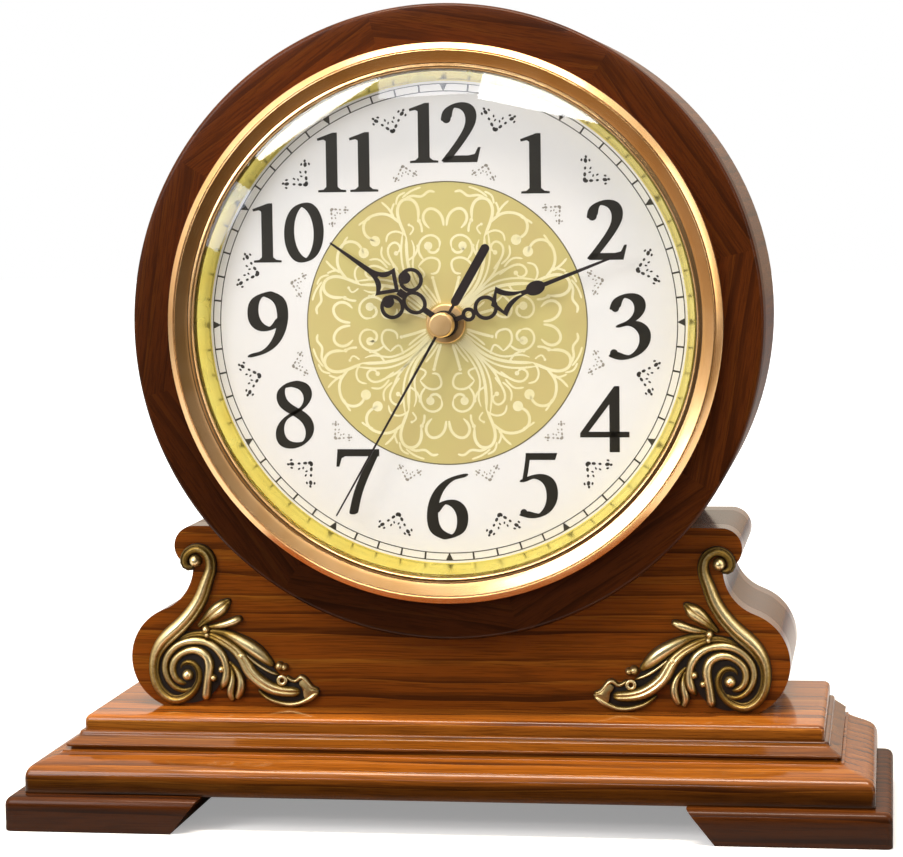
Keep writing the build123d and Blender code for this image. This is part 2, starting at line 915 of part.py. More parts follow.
def stator():
    """The motor's iron plate: a ring round the rotor and two legs to the coil's core."""
    middle, height = rotor_place
    hole = magnet_radius + stator_hole_gap
    sketch = disc(rotor_place, hole + stator_ring_width)
    sketch += Pos(middle, height) * Rectangle(2 * stator_half_span, stator_bar)
    leg_height = coil_height + coil_core_width / 2 - height + stator_bar / 2
    for side in (-1, 1):
        leg_middle = (height - stator_bar / 2) + leg_height / 2
        place = Pos(middle + side * stator_half_span, leg_middle)
        sketch += place * Rectangle(stator_bar, leg_height)
    sketch -= disc(rotor_place, hole)
    return in_movement(sketch, stator_level, stator_thickness)


def coil_core():
    """The flat iron bar through the coil."""
    long = 2 * stator_half_span + stator_bar
    bar = Pos(rotor_place[0], coil_height) * Rectangle(long, coil_core_width)
    return in_movement(bar, core_level, coil_core_thickness)


def across_coil(radius, length, offset=0):
    """A cylinder along X about the coil's core."""
    ahead = backing_rear - core_level - coil_core_thickness / 2
    place = Pos(rotor_place[0] + offset, -ahead, drum_axis_height + coil_height)
    return place * Rot(0, quarter_turn, 0) * Cylinder(radius, length)


def bobbin_radius():
    """The radius that the winding starts on."""
    half_width = coil_core_width / 2 + running_gap
    half_thickness = coil_core_thickness / 2 + running_gap
    return sqrt(half_width**2 + half_thickness**2) + bobbin_wall


def coil_bobbin():
    """The plastic spool, with a flange at each end and a slot for the core."""
    body = across_coil(bobbin_radius(), coil_length)
    offset = (coil_length + coil_flange_thickness) / 2
    for side in (-1, 1):
        body += across_coil(coil_flange_radius, coil_flange_thickness, side * offset)
    slot = Pos(rotor_place[0], coil_height) * Rectangle(
        coil_length + 4 * coil_flange_thickness, coil_core_width + 2 * running_gap
    )
    cut = in_movement(
        slot, core_level - running_gap, coil_core_thickness + 2 * running_gap
    )
    return body - cut


def coil_winding():
    """The copper winding between the flanges."""
    return across_coil(coil_radius, coil_length) - across_coil(
        bobbin_radius() + press_gap, coil_length + overrun
    )


def circuit_board():
    """The small board with the timing circuit."""
    sketch = Pos(-board_out, board_rise) * Rectangle(board_width, board_height)
    return in_movement(sketch, stator_level, board_thickness)


def rotor():
    """The magnet of the motor on its arbor, with its pinion."""
    body = in_movement(disc(rotor_place, magnet_radius), stator_level, magnet_length)
    pinion = toothed(rotor_teeth, rotor_module, rotor_place, rotor_angle + 180)
    body += in_movement(pinion, intermediate_level - pinion_lap, wheel_thickness + 2 * pinion_lap)
    arbor = disc(rotor_place, arbor_radius)
    body += in_movement(arbor, plate_level + axial_play, rear_pivot_level - plate_level - axial_play)
    return body


def intermediate_wheel():
    """The wheel between the rotor and the second wheel."""
    wheel = toothed(intermediate_teeth, rotor_module, intermediate_place, rotor_angle, True)
    body = in_movement(wheel, intermediate_level, wheel_thickness)
    pinion = toothed(
        intermediate_pinion_teeth, second_module, intermediate_place, intermediate_angle + 180
    )
    length = intermediate_level - second_level + pinion_lap
    body += in_movement(pinion, second_level - pinion_lap, length)
    arbor = disc(intermediate_place, arbor_radius)
    body += in_movement(arbor, plate_level + axial_play, rear_pivot_level - plate_level - axial_play)
    return body


def second_wheel():
    """The second hand's arbor with its wheel and pinion."""
    wheel = toothed(second_teeth, second_module, (0, 0), intermediate_angle, True)
    body = in_movement(wheel, second_level, wheel_thickness)
    pinion = toothed(second_pinion_teeth, third_module, (0, 0), third_angle)
    length = second_level - third_level + pinion_lap
    body += in_movement(pinion, third_level - pinion_lap, length)
    arbor_front = second_hand_rear + hand_thickness
    arbor_rear = backing_rear - rear_pivot_level
    body += facing(Circle(second_arbor_radius), arbor_rear, arbor_front)
    return body


def third_wheel():
    """The wheel and pinion between the second wheel and the centre wheel."""
    wheel = toothed(third_teeth, third_module, third_place, third_angle + 180, True)
    body = in_movement(wheel, third_level, wheel_thickness)
    pinion = toothed(third_pinion_teeth, centre_module, third_place, third_angle + 180)
    body += in_movement(pinion, centre_level - pinion_lap, wheel_thickness + 2 * pinion_lap)
    arbor = disc(third_place, third_arbor_radius)
    body += in_movement(arbor, front_pivot_level, rear_pivot_level - front_pivot_level)
    return body


def centre_wheel():
    """The wheel that drives the minute arbor by friction."""
    wheel = toothed(centre_teeth, centre_module, (0, 0), third_angle, True)
    wheel -= Circle(minute_tube_radius + running_gap)
    return in_movement(wheel, centre_level, wheel_thickness)


def minute_arbor():
    """The minute tube with the cannon pinion."""
    pinion = toothed(cannon_teeth, motion_module, (0, 0), motion_angle)
    level = motion_level - pinion_lap
    body = in_movement(pinion, level, wheel_thickness + 2 * pinion_lap)
    front = minute_hand_rear + hand_thickness
    rear = backing_rear - centre_level - wheel_thickness
    body += facing(Circle(minute_tube_radius), rear, front)
    bore = Circle(second_arbor_radius + running_gap)
    return body - facing(bore, rear - overrun, front + overrun)


def motion_wheel():
    """The wheel and pinion of the motion work, on the arbor that the knob turns."""
    wheel = toothed(motion_teeth, motion_module, motion_place, motion_angle + 180, True)
    body = in_movement(wheel, motion_level, wheel_thickness)
    pinion = toothed(motion_pinion_teeth, hour_module, motion_place, motion_angle + 180)
    body += in_movement(pinion, hour_level, motion_level - hour_level)
    arbor = disc(motion_place, motion_arbor_radius)
    length = movement_depth + knob_gap + knob_height / 2 - front_pivot_level
    body += in_movement(arbor, front_pivot_level, length)
    return body


def hour_wheel():
    """The hour wheel with the tube that carries the hour hand."""
    wheel = toothed(hour_teeth, hour_module, (0, 0), motion_angle, True)
    body = in_movement(wheel, hour_level, wheel_thickness)
    front = hour_hand_rear + hand_thickness
    body += facing(Circle(hour_tube_radius), backing_rear - hour_level, front)
    bore = Circle(minute_tube_radius + running_gap)
    rear = backing_rear - hour_level - wheel_thickness
    return body - facing(bore, rear - overrun, front + overrun)


def setting_knob():
    """The fluted knob at the back that sets the hands."""
    sketch = disc(motion_place, knob_radius)
    for i in range(knob_flutes):
        place = shifted(motion_place, polar(knob_radius, 360 * i / knob_flutes))
        sketch -= disc(place, knob_flute_radius)
    level = movement_depth + knob_gap
    body = in_movement(sketch, level, knob_height)
    socket = disc(motion_place, motion_arbor_radius + press_gap)
    return body - in_movement(socket, level - overrun, overrun + knob_height / 2 + press_gap)


def centre_nut():
    """The round brass nut that clamps the movement to the dial."""
    bore = stub_radius + press_gap
    profile = outline(
        [(bore, dial_face), (nut_radius, dial_face), (nut_radius, nut_face), (bore, nut_face)],
        {2: nut_edge_round},
    )
    return turned(profile)


def battery():
    """The AA cell in its bay, its cap to the right."""
    ahead = backing_rear - battery_level
    rear_end = -(battery_length + battery_nub_length) / 2
    profile = outline(
        [
            (0, 0),
            (battery_radius, 0),
            (battery_radius, battery_length),
            (battery_nub_radius, battery_length),
            (battery_nub_radius, battery_length + battery_nub_length),
            (0, battery_length + battery_nub_length),
        ],
        {1: battery_edge_round, 2: battery_edge_round},
    )
    cell = Rot(0, quarter_turn, 0) * revolve(Plane.XZ * profile, Axis.Z)
    return Pos(rear_end, -ahead, drum_axis_height + battery_height) * cell


def contact(side):
    """A contact strip against the side wall of the bay, reaching up past the partition."""
    middle = side * (inner_width / 2 - contact_thickness / 2)
    low_end = battery_height - contact_width / 2
    place = Pos(middle, low_end + contact_height / 2)
    strip = place * Rectangle(contact_thickness, contact_height)
    return in_movement(strip, battery_level - contact_width / 2, contact_width)


# Hands

def hand_ring(place, radius):
    """A wire ring of the hands' line width."""
    return Pos(*place) * ring(radius, radius - hand_line)


def spade(base, barb, tip, half_width, tip_width):
    """A barbed spade, hollow-sided above its barbs, with a blunt tip."""
    tip_half = tip_width / 2
    waist = (
        tip_half + (half_width - tip_half) * spade_hollow_share,
        barb + (tip - barb) * spade_hollow_share,
    )
    right = [
        Line((0, base), (half_width, barb)),
        ThreePointArc((half_width, barb), waist, (tip_half, tip)),
        Line((tip_half, tip), (0, tip)),
    ]
    left = [mirror(line, Plane.YZ) for line in right]
    return make_face([e for line in right + left for e in line.edges()])


def hollow_spade(base, barb, tip, half_width, tip_width):
    """A spade with its middle cut out, leaving a line all round."""
    inner = spade(
        base + spade_base_lines * hand_line,
        barb - spade_barb_lines * hand_line,
        tip - spade_tip_lines * hand_line,
        half_width - spade_side_lines * hand_line,
        spike_tip_width,
    )
    return spade(base, barb, tip, half_width, tip_width) - inner


def spike(start, tip, width):
    """A straight taper from a width to the tip's width."""
    half, tip_half = width / 2, spike_tip_width / 2
    return outline([(-half, start), (half, start), (tip_half, tip), (-tip_half, tip)])


def hour_hand():
    """The pierced hour hand."""
    sketch = Circle(hand_hub_radius)
    link = Ellipse(hour_link_width, hour_link_length) - Ellipse(
        hour_link_width - hand_line, hour_link_length - hand_line
    )
    neck_length = hour_link_centre - hour_link_length + hand_line / 2
    neck = Pos(0, neck_length / 2) * Rectangle(hour_stem_width, neck_length)
    sketch += Pos(0, hour_link_centre) * link + neck
    for side in (-1, 1):
        place = (side * hour_ring_out, hour_ring_centre)
        sketch += hand_ring(place, hour_ring_radius)
        blob = (side * (hour_ring_out - hand_line / 2), hour_ring_centre + hour_blob_ahead)
        sketch += Pos(*blob) * Circle(hour_blob_radius)
    bridge = hour_spade_base - hour_link_centre
    sketch += Pos(0, hour_spade_base - hand_line) * Rectangle(2 * hand_line, bridge / 2)
    sketch += hollow_spade(
        hour_spade_base, hour_spade_barb, hour_spade_tip, hour_spade_half_width, hour_stem_width
    )
    sketch += spike(hour_spade_tip - hour_stem_width, hour_hand_length, hour_stem_width)
    sketch -= Circle(hour_tube_radius + press_gap)
    turned_hand = Rot(0, 0, -hour_hand_angle) * sketch
    return facing(turned_hand, hour_hand_rear, hour_hand_rear + hand_thickness)


def minute_hand():
    """The pierced minute hand."""
    sketch = Circle(hand_hub_radius)
    neck_length = minute_small_ring_centre - minute_small_ring_radius + hand_line / 2
    sketch += Pos(0, neck_length / 2) * Rectangle(minute_stem_width, neck_length)
    sketch += hand_ring((0, minute_small_ring_centre), minute_small_ring_radius)
    sketch += hand_ring((0, minute_ring_centre), minute_ring_radius)
    sketch += hollow_spade(
        minute_spade_base,
        minute_spade_barb,
        minute_spade_tip,
        minute_spade_half_width,
        minute_stem_width,
    )
    drop = Ellipse(minute_drop_half_width, minute_drop_half_length)
    sketch += Pos(0, minute_drop_centre) * drop
    sketch += spike(minute_spade_tip - minute_stem_width, minute_hand_length, minute_stem_width)
    sketch -= Circle(minute_tube_radius + press_gap)
    turned_hand = Rot(0, 0, -minute_hand_angle) * sketch
    return facing(turned_hand, minute_hand_rear, minute_hand_rear + hand_thickness)


def second_hand():
    """The second hand: a needle, and a broad tail that balances it."""
    half, tip_half = second_needle_width / 2, second_needle_tip_width / 2
    sketch = outline(
        [
            (-half, -second_tail_start - second_tail_width / 2),
            (half, -second_tail_start - second_tail_width / 2),
            (tip_half, second_hand_length),
            (-tip_half, second_hand_length),
        ]
    )
    sketch += Circle(cap_radius)
    bar_length = second_tail_length - second_tail_start
    bar_middle = -(second_tail_start + second_tail_length) / 2
    bar = Rot(0, 0, quarter_turn) * SlotOverall(bar_length, second_tail_width)
    sketch += Pos(0, bar_middle) * bar
    sketch -= Circle(second_arbor_radius + press_gap)
    turned_hand = Rot(0, 0, -second_hand_angle) * sketch
    return facing(turned_hand, second_hand_rear, second_hand_rear + hand_thickness)


def second_cap():
    """The tall brass cap over the hub of the second hand."""
    rear = second_hand_rear + hand_thickness
    profile = outline(
        [(0, rear), (cap_radius, rear), (cap_radius, rear + cap_height), (0, rear + cap_height)],
        {2: cap_edge_round},
    )
    return turned(profile)


# Scroll appliques

def scroll_point(out_share, up_share):
    """A point of the applique from shares of its reach, counted inwards, and of its height."""
    return (scroll_outer - out_share * scroll_reach, scroll_foot + up_share * scroll_height)


def ribbon(points, widths):
    """A face that follows a line of points, with a width at each of them and rounded ends."""
    line = Spline(*points)
    count = len(points) - 1
    left, right = [], []
    for i, width in enumerate(widths):
        share = line.param_at_point(points[i]) if 0 < i < count else i / count
        ahead = line % share
        side = (-ahead.Y * width / 2, ahead.X * width / 2)
        left.append(shifted(points[i], side))
        right.append((points[i][0] - side[0], points[i][1] - side[1]))
    edges = [Spline(*left), Line(left[-1], right[-1]), Spline(*right), Line(left[0], right[0])]
    face = make_face([e for edge in edges for e in edge.edges()])
    face += Pos(*points[0]) * Circle(widths[0] / 2)
    return face + Pos(*points[-1]) * Circle(widths[-1] / 2)


def spiral_points(radii, start_angle, end_angle, steps):
    """Points of a spiral about the volute's eye, whose radius shrinks evenly for each turn."""
    start_radius, end_radius = radii
    fall = log(end_radius / start_radius)
    points = []
    for i in range(steps + 1):
        share = i / steps
        angle = start_angle + (end_angle - start_angle) * share
        points.append(shifted((volute_out, volute_rise), polar(start_radius * exp(fall * share), angle)))
    return points


def scroll_line():
    """The S of the applique: its head's curl, its hollow back and the volute, with a width at each point."""
    fall = log(volute_radii[-1] / volute_radii[0])
    slant = degrees(atan2(-fall, radians(volute_start_angle - volute_end_angle)))
    heading = volute_start_angle + quarter_turn - slant
    start = shifted((volute_out, volute_rise), polar(volute_radii[0], volute_start_angle))
    head_left = scroll_outer - scroll_head_share * scroll_reach
    back_radius = (start[0] - head_left) / (1 - cos(radians(heading - quarter_turn)))
    back_centre = shifted(start, polar(back_radius, heading - quarter_turn))
    head_centre = (head_left + scroll_head_radius, back_centre[1])
    points, widths = [], []
    for i in range(scroll_steps):
        angle = 180 - scroll_head_turn * (1 - i / scroll_steps)
        points.append(shifted(head_centre, polar(scroll_head_radius, angle)))
        widths.append(scroll_head_width)
    for i in range(scroll_steps):
        share = i / scroll_steps
        angle = 180 + (heading - quarter_turn) * share
        points.append(shifted(back_centre, polar(back_radius, angle)))
        widths.append(scroll_head_width + (scroll_band_width - scroll_head_width) * share)
    volute = spiral_points(volute_radii, volute_start_angle, volute_end_angle, 2 * scroll_steps)
    for i, point in enumerate(volute):
        share = i / (2 * scroll_steps)
        points.append(point)
        widths.append(scroll_band_width + (scroll_eye_width - scroll_band_width) * share)
    return points, widths, head_centre


def rib_points(inner):
    """The inner or the outer rib that follows the volute inside the S."""
    if inner:
        return spiral_points(inner_rib_radii, inner_rib_start_angle, inner_rib_end_angle, scroll_steps)
    return spiral_points(outer_rib_radii, outer_rib_start_angle, outer_rib_end_angle, scroll_steps)


def volute_sheet():
    """The sheet between the ribs of the volute, whose edges lie under the S and the outer rib."""
    volute = spiral_points(volute_radii, volute_start_angle, volute_end_angle, 2 * scroll_steps)
    top_bead = scroll_point(*bead_shares[1])
    return outline([*volute[:scroll_steps], *rib_points(True)[:1], *rib_points(False)[:4], top_bead])


def applique():
    """The right scroll applique: a thin sheet, the S, its ribs, leaves and beads, each at its relief."""
    rear = waist_face
    points, widths, head_centre = scroll_line()
    body = upright(ribbon(points, widths), rear, rear + scroll_relief)
    eye = Pos(volute_out, volute_rise) * Circle(scroll_bead_radius + scroll_eye_width / 2)
    body += upright(eye, rear, rear + scroll_relief)
    body += upright(volute_sheet(), rear, rear + sheet_relief)
    knob = Pos(*head_centre) * Circle(scroll_head_radius - scroll_head_width / 2 + scroll_bead_radius / 4)
    body += upright(knob, rear, rear + rib_relief)
    for rib, width in ((rib_points(True), inner_rib_width), (rib_points(False), outer_rib_width)):
        body += upright(ribbon(rib, [width] * len(rib)), rear, rear + rib_relief)
    for shares, width_shares in leaf_shares:
        leaf = ribbon(
            [scroll_point(*share) for share in shares], [leaf_width * share for share in width_shares]
        )
        body += upright(leaf, rear, rear + leaf_relief)
    for share in bead_shares:
        body += upright(Pos(*scroll_point(*share)) * Circle(scroll_bead_radius), rear, rear + leaf_relief)
    return body


# Assembly

def with_holes(body, places, hole):
    """The body less a hole at each place."""
    for place in places:
        body = body - place * hole
    return body


def build():
    """Every node of the clock by name."""
    foot_places, plinth_places = foot_screw_places(), plinth_screw_places()
    foot_hole = wood_screw_hole(foot_screw_length)
    plinth_hole = wood_screw_hole(plinth_screw_length)
    cover_places = cover_screw_places()
    cover_hole = cover_screw_hole()
    right_foot = with_holes(foot(), foot_places, foot_hole)
    lower = with_holes(lower_board(), foot_places, foot_hole)
    right_side = waist_side()
    right_applique = applique()
    return {
        "foot_right": right_foot,
        "foot_left": mirror(right_foot, Plane.YZ),
        "foot_screws": [place * wood_screw(foot_screw_length) for place in foot_places],
        "plinth_lower": with_holes(lower, plinth_places, plinth_hole),
        "plinth_moulding": with_holes(middle_moulding(), plinth_places, plinth_hole),
        "plinth_top": with_holes(top_board(), plinth_places, plinth_hole),
        "plinth_screws": [place * wood_screw(plinth_screw_length) for place in plinth_places],
        "waist_front": with_holes(
            waist_panel(waist_face - panel_thickness), plinth_places, plinth_hole
        ),
        "waist_back": with_holes(waist_panel(clock_back), plinth_places, plinth_hole),
        "waist_side_right": right_side,
        "waist_side_left": mirror(right_side, Plane.YZ),
        "case_ring": case_ring(),
        "drum_shell": with_holes(drum_shell(), cover_places, cover_hole),
        "back_cover": with_holes(back_cover(), cover_places, cover_hole),
        "back_cover_screws": [place * cover_screw() for place in cover_places],
        "bezel": bezel(),
        "glass_lens": glass_lens(),
        "dial_cone": dial_cone(),
        "dial": dial(),
        "dial_backing": dial_backing(),
        "applique_right": right_applique,
        "applique_left": mirror(right_applique, Plane.YZ),
        "centre_nut": centre_nut(),
        "movement_case_front": movement_case_front(),
        "movement_case_back": movement_case_back(),
        "train_plate": train_plate(),
        "motor_stator": stator(),
        "coil_core": coil_core(),
        "coil_bobbin": coil_bobbin(),
        "coil_winding": coil_winding(),
        "circuit_board": circuit_board(),
        "battery_contact_left": contact(-1),
        "battery_contact_right": contact(1),
        "battery": battery(),
        "rotor": rotor(),
        "intermediate_wheel": intermediate_wheel(),
        "second_wheel": second_wheel(),
        "third_wheel": third_wheel(),
        "centre_wheel": centre_wheel(),
        "minute_arbor": minute_arbor(),
        "motion_wheel": motion_wheel(),
        "hour_wheel": hour_wheel(),
        "setting_knob": setting_knob(),
        "hour_hand": hour_hand(),
        "minute_hand": minute_hand(),
        "second_hand": second_hand(),
        "second_cap": second_cap(),
    }


def single(shape):
    """The one shape that holds a node's solids."""
    if isinstance(shape, list):
        return Compound(children=shape)
    return shape


os.makedirs("parts", exist_ok=True)
for name, shape in build().items():
    export_step(single(shape), f"parts/{name}.step")
    print(name, round(single(shape).volume, 1))
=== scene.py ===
"""A wooden mantel clock, dressed piece by piece over its measured frame.

The frame gives every node in metres. The classes below hold their sizes in millimetres, as (right, up)
from the middle of the dial or from the floor, and "ahead" counts from the middle plane to the front.
"""

import logging
from contextlib import contextmanager
from dataclasses import dataclass, field, replace
from enum import Enum
from typing import Iterator, Protocol, Sequence

import bmesh
import bpy
import numpy as np
from bpy.types import ID, Material, Mesh, Node, NodeSocket, NodeTree, Object
from mathutils import Matrix, Vector


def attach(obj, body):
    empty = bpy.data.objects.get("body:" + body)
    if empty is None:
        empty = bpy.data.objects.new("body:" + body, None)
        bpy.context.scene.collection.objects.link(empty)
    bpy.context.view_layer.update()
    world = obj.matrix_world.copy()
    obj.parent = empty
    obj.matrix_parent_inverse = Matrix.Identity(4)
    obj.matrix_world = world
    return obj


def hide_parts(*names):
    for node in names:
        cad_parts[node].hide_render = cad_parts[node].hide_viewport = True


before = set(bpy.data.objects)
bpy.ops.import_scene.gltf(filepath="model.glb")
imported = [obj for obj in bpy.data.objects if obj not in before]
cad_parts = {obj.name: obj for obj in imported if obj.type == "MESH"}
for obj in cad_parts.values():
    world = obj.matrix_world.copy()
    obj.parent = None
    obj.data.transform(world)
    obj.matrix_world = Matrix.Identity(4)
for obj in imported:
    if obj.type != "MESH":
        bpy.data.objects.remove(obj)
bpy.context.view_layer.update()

log = logging.getLogger("mantel_clock")

MM = 0.001
AXIS_HEIGHT = 171.0
FULL_TURN = 2.0 * np.pi
QUARTER = np.pi / 2
MERGE_GAP = 0.002 * MM
WHITE = (1.0, 1.0, 1.0, 1.0)
PHOTO_WIDTH = 903
SENSOR_WIDTH = 36.0
# the parts of a grid of points that a face of their own can close
ROW_ENDS = (np.s_[0, :], np.s_[-1, :])
COLUMN_ENDS = (np.s_[:, 0], np.s_[:, -1])

Pairs = tuple[tuple[float, float], ...]
Triples = tuple[tuple[float, float, float], ...]
Value = Node | NodeSocket | float


# Colours, nodes and finishes


def linear(colour: str) -> tuple[float, float, float, float]:
    """Turns an sRGB hex colour such as "#6b2f10" to linear light, with an alpha of one."""
    channels = np.array([int(colour[i : i + 2], 16) for i in (1, 3, 5)]) / 255.0
    red, green, blue = np.where(channels <= 0.04045, channels / 12.92, ((channels + 0.055) / 1.055) ** 2.4)
    return (float(red), float(green), float(blue), 1.0)


def add_node(
    tree: NodeTree,
    kind: str,
    inputs: dict | None = None,
    stops: Sequence[tuple[float, object]] = (),
    **settings: object,
) -> Node:
    """Adds one shader node with its settings and its links.

    Args:
        tree: The material's or the world's node tree.
        kind: The node's type without its "ShaderNode".
        inputs: Input names or numbers, each with a value, an output socket, or a node whose first output
            is meant.
        stops: Positions and hex colours, or grey values, of a colour ramp.
        settings: Attributes of the node itself.

    Returns:
        The new node.
    """
    node = tree.nodes.new("ShaderNode" + kind)
    for name, value in settings.items():
        setattr(node, name, value)
    if stops:
        elements = node.color_ramp.elements
        while len(elements) < len(stops):
            elements.new(0.5)
        for element, (place, value) in zip(elements, stops):
            element.position = place
            element.color = linear(value) if isinstance(value, str) else (value, value, value, 1.0)
    for name, value in (inputs or {}).items():
        if isinstance(value, Node):
            value = value.outputs[0]
        if isinstance(value, NodeSocket):
            tree.links.new(value, node.inputs[name])
        else:
            node.inputs[name].default_value = value
    return node


def object_place(tree: NodeTree) -> NodeSocket:
    """Adds the place in the object's own coordinates."""
    return add_node(tree, "TexCoord").outputs["Object"]


def clouds(tree: NodeTree, place: Value, size: float, detail: float = 3.0) -> Node:
    """Adds noise with clouds of a size in millimetres."""
    return add_node(tree, "TexNoise", {"Vector": place, "Scale": 1.0 / (size * MM), "Detail": detail})


def ramp(tree: NodeTree, value: Value, *stops: tuple[float, object]) -> Node:
    """Adds a colour ramp over a value."""
    return add_node(tree, "ValToRGB", {"Fac": value}, stops)


def remap(
    tree: NodeTree, value: Value, start: float, end: float, low: float, high: float, kind: str = "SMOOTHSTEP"
) -> Node:
    """Adds a value that goes from low to high while another goes from start to end."""
    inputs = {"Value": value, "From Min": start, "From Max": end, "To Min": low, "To Max": high}
    return add_node(tree, "MapRange", inputs, interpolation_type=kind)


def calculate(tree: NodeTree, operation: str, *values: Value) -> Node:
    """Adds a calculation with two or three values."""
    return add_node(tree, "Math", dict(enumerate(values)), operation=operation)


def shaded(tree: NodeTree, colour: Value, shade: Value) -> NodeSocket:
    """Adds the product of two colours."""
    factors = {0: 1.0, 6: colour, 7: shade}
    return add_node(tree, "Mix", factors, data_type="RGBA", blend_type="MULTIPLY").outputs[2]


def bump(tree: NodeTree, height: Value, strength: float, depth: float, invert: bool = False) -> Node:
    """Adds a relief with a depth in millimetres."""
    inputs = {"Height": height, "Strength": strength, "Distance": depth * MM}
    return add_node(tree, "Bump", inputs, invert=invert)


def empty_tree(owner: ID) -> NodeTree:
    """Gives a material's or a world's node tree, emptied."""
    owner.use_nodes = True
    owner.node_tree.nodes.clear()
    return owner.node_tree


def new_material(name: str) -> tuple[Material, NodeTree]:
    """Makes an empty node material and gives it with its tree."""
    material = bpy.data.materials.new(name)
    return material, empty_tree(material)


def principled(material: Material, inputs: dict) -> Material:
    """Ends a material with a principled shader of the given inputs, and gives it back."""
    surface = add_node(material.node_tree, "BsdfPrincipled", inputs)
    add_node(material.node_tree, "OutputMaterial", {"Surface": surface})
    return material


class Finish(Protocol):
    """What every finish has: a name, the record's slot and a way to mix its material."""

    name: str
    slot: str

    def material(self) -> Material:
        """Builds the material."""


class Grain(Enum):
    """The direction that a board's grain runs in, as the turn that brings it to X."""

    ACROSS = (0.0, 0.0, 0.0)
    DEEP = (0.0, 0.0, -QUARTER)
    UPRIGHT = (0.0, QUARTER, 0.0)
    SEGMENT = None


@dataclass(frozen=True)
class LacqueredOak:
    """Stained open-pored oak under clear lacquer: warm brown, with darker streaks and short fine pores.

    Its painted shade by height, (low, high, share), darkens it to a share below one height and fades out at a
    second: shade painted on its lower faces as if lit from above.
    """

    name: str
    grain: Grain
    seed: float
    base: str
    dark: str
    light: str
    lacquer: float
    lacquer_roughness: float = 0.1
    painted_shade_by_height: tuple[float, float, float] | None = None
    band_width: float = 5.0
    band_length: float = 190.0
    pore_width: float = 0.45
    pore_length: float = 26.0
    pore_share: float = 0.5
    pore_depth: float = 0.1
    ring_spacing: float = 5.0
    ring_share: float = 0.3
    sway_scale: float = 6.0
    sway_reach: float = 0.008
    slot: str = "walnut"

    def material(self) -> Material:
        """Builds the wood.

        Wide streaks are noise stretched along the grain, growth rings are rings about the pith below the
        board, bent by slow noise, and pores are fine noise stretched along the grain. The lacquer lies
        over a body with no shine of its own, so that the stain stays warm.

        Returns:
            The material.
        """
        material, tree = new_material(self.name)
        segmented = self.grain is Grain.SEGMENT
        if segmented:
            place = add_node(tree, "Attribute", attribute_name="grain").outputs["Vector"]
        else:
            place = object_place(tree)
        turn = self.grain.value or Grain.ACROSS.value
        shift = (self.seed, self.seed, 0.4)
        along = add_node(tree, "Mapping", {"Vector": place, "Rotation": turn, "Location": shift})
        sway = add_node(tree, "TexNoise", {"Vector": along, "Scale": self.sway_scale, "Detail": 2.0})
        reach = (0.0, self.sway_reach, self.sway_reach)
        bend = add_node(
            tree, "VectorMath", {0: sway.outputs["Color"], 1: reach, 2: along}, operation="MULTIPLY_ADD"
        )
        streaks = self.stretched(tree, bend, self.band_length, self.band_width, 5.0)
        pith = {"Vector": bend, "Location": (0.0, 0.05, 0.11), "Scale": (0.08, 1.0, 1.0)}
        wave = {
            "Vector": add_node(tree, "Mapping", pith),
            "Scale": FULL_TURN / (20.0 * self.ring_spacing * MM),
            "Distortion": 4.0,
            "Detail": 3.0,
            "Detail Scale": 1.2,
        }
        rings = add_node(tree, "TexWave", wave, wave_type="RINGS", rings_direction="X", wave_profile="SAW")
        figure = add_node(
            tree, "Mix", {0: self.ring_share, 2: streaks, 3: rings.outputs["Fac"]}, data_type="FLOAT"
        )
        tone = ramp(tree, figure, (0.32, self.dark), (0.46, self.base), (0.58, self.base), (0.75, self.light))
        fine = self.stretched(tree, bend, self.pore_length, self.pore_width, 3.0)
        pores = ramp(tree, fine, (0.4, 1.0), (0.52, 0.0))
        depth = calculate(tree, "MULTIPLY", pores, self.pore_share)
        colour = add_node(tree, "Mix", {0: depth, 6: tone, 7: linear(self.dark)}, data_type="RGBA").outputs[2]
        # Painted shade round the ring, darker towards its bottom, times each segment's own tone.
        if segmented:
            colour = shaded(tree, colour, add_node(tree, "Attribute", attribute_name="tone"))
        # Painted shade: darker below a height, standing in for a light from above.
        if self.painted_shade_by_height:
            low, high, share = self.painted_shade_by_height
            height = add_node(tree, "SeparateXYZ", {"Vector": object_place(tree)}).outputs["Z"]
            colour = shaded(tree, colour, remap(tree, height, low * MM, high * MM, share, 1.0))
        surface = {
            "Base Color": colour,
            "Roughness": 0.6,
            "Specular IOR Level": 0.0,
            "Normal": bump(tree, pores, 0.3, self.pore_depth, invert=True),
            "Coat Weight": self.lacquer,
            "Coat Roughness": self.lacquer_roughness,
            "Coat IOR": 1.5,
        }
        return principled(material, surface)

    def stretched(self, tree: NodeTree, place: Node, length: float, width: float, detail: float) -> Node:
        """Adds noise whose clouds are as long and as wide as given, in millimetres along the grain."""
        scale = (1.0 / (length * MM), 1.0 / (width * MM), 1.0 / (width * MM))
        long_place = add_node(tree, "Mapping", {"Vector": place, "Scale": scale})
        inputs = {"Vector": long_place, "Scale": 1.0, "Detail": detail, "Roughness": 0.6}
        return add_node(tree, "TexNoise", inputs)


@dataclass(frozen=True)
class PolishedMetal:
    """Turned and polished metal: mirror-like, with faint wipe marks that soften its shine."""

    name: str
    colour: str
    tarnish: str
    slot: str
    smooth: float
    rough: float
    cloud_size: float = 14.0
    lacquer: float = 0.0

    def material(self) -> Material:
        """Builds the metal: cloudy noise mixes its colour with its tarnish and its shine with haze."""
        material, tree = new_material(self.name)
        wipes = clouds(tree, object_place(tree), self.cloud_size)
        surface = {
            "Base Color": ramp(tree, wipes, (0.35, self.tarnish), (0.6, self.colour)),
            "Metallic": 1.0,
            "Roughness": remap(tree, wipes, 0.0, 1.0, self.smooth, self.rough, "LINEAR"),
            "Coat Weight": self.lacquer,
            "Coat Roughness": 0.08,
        }
        return principled(material, surface)


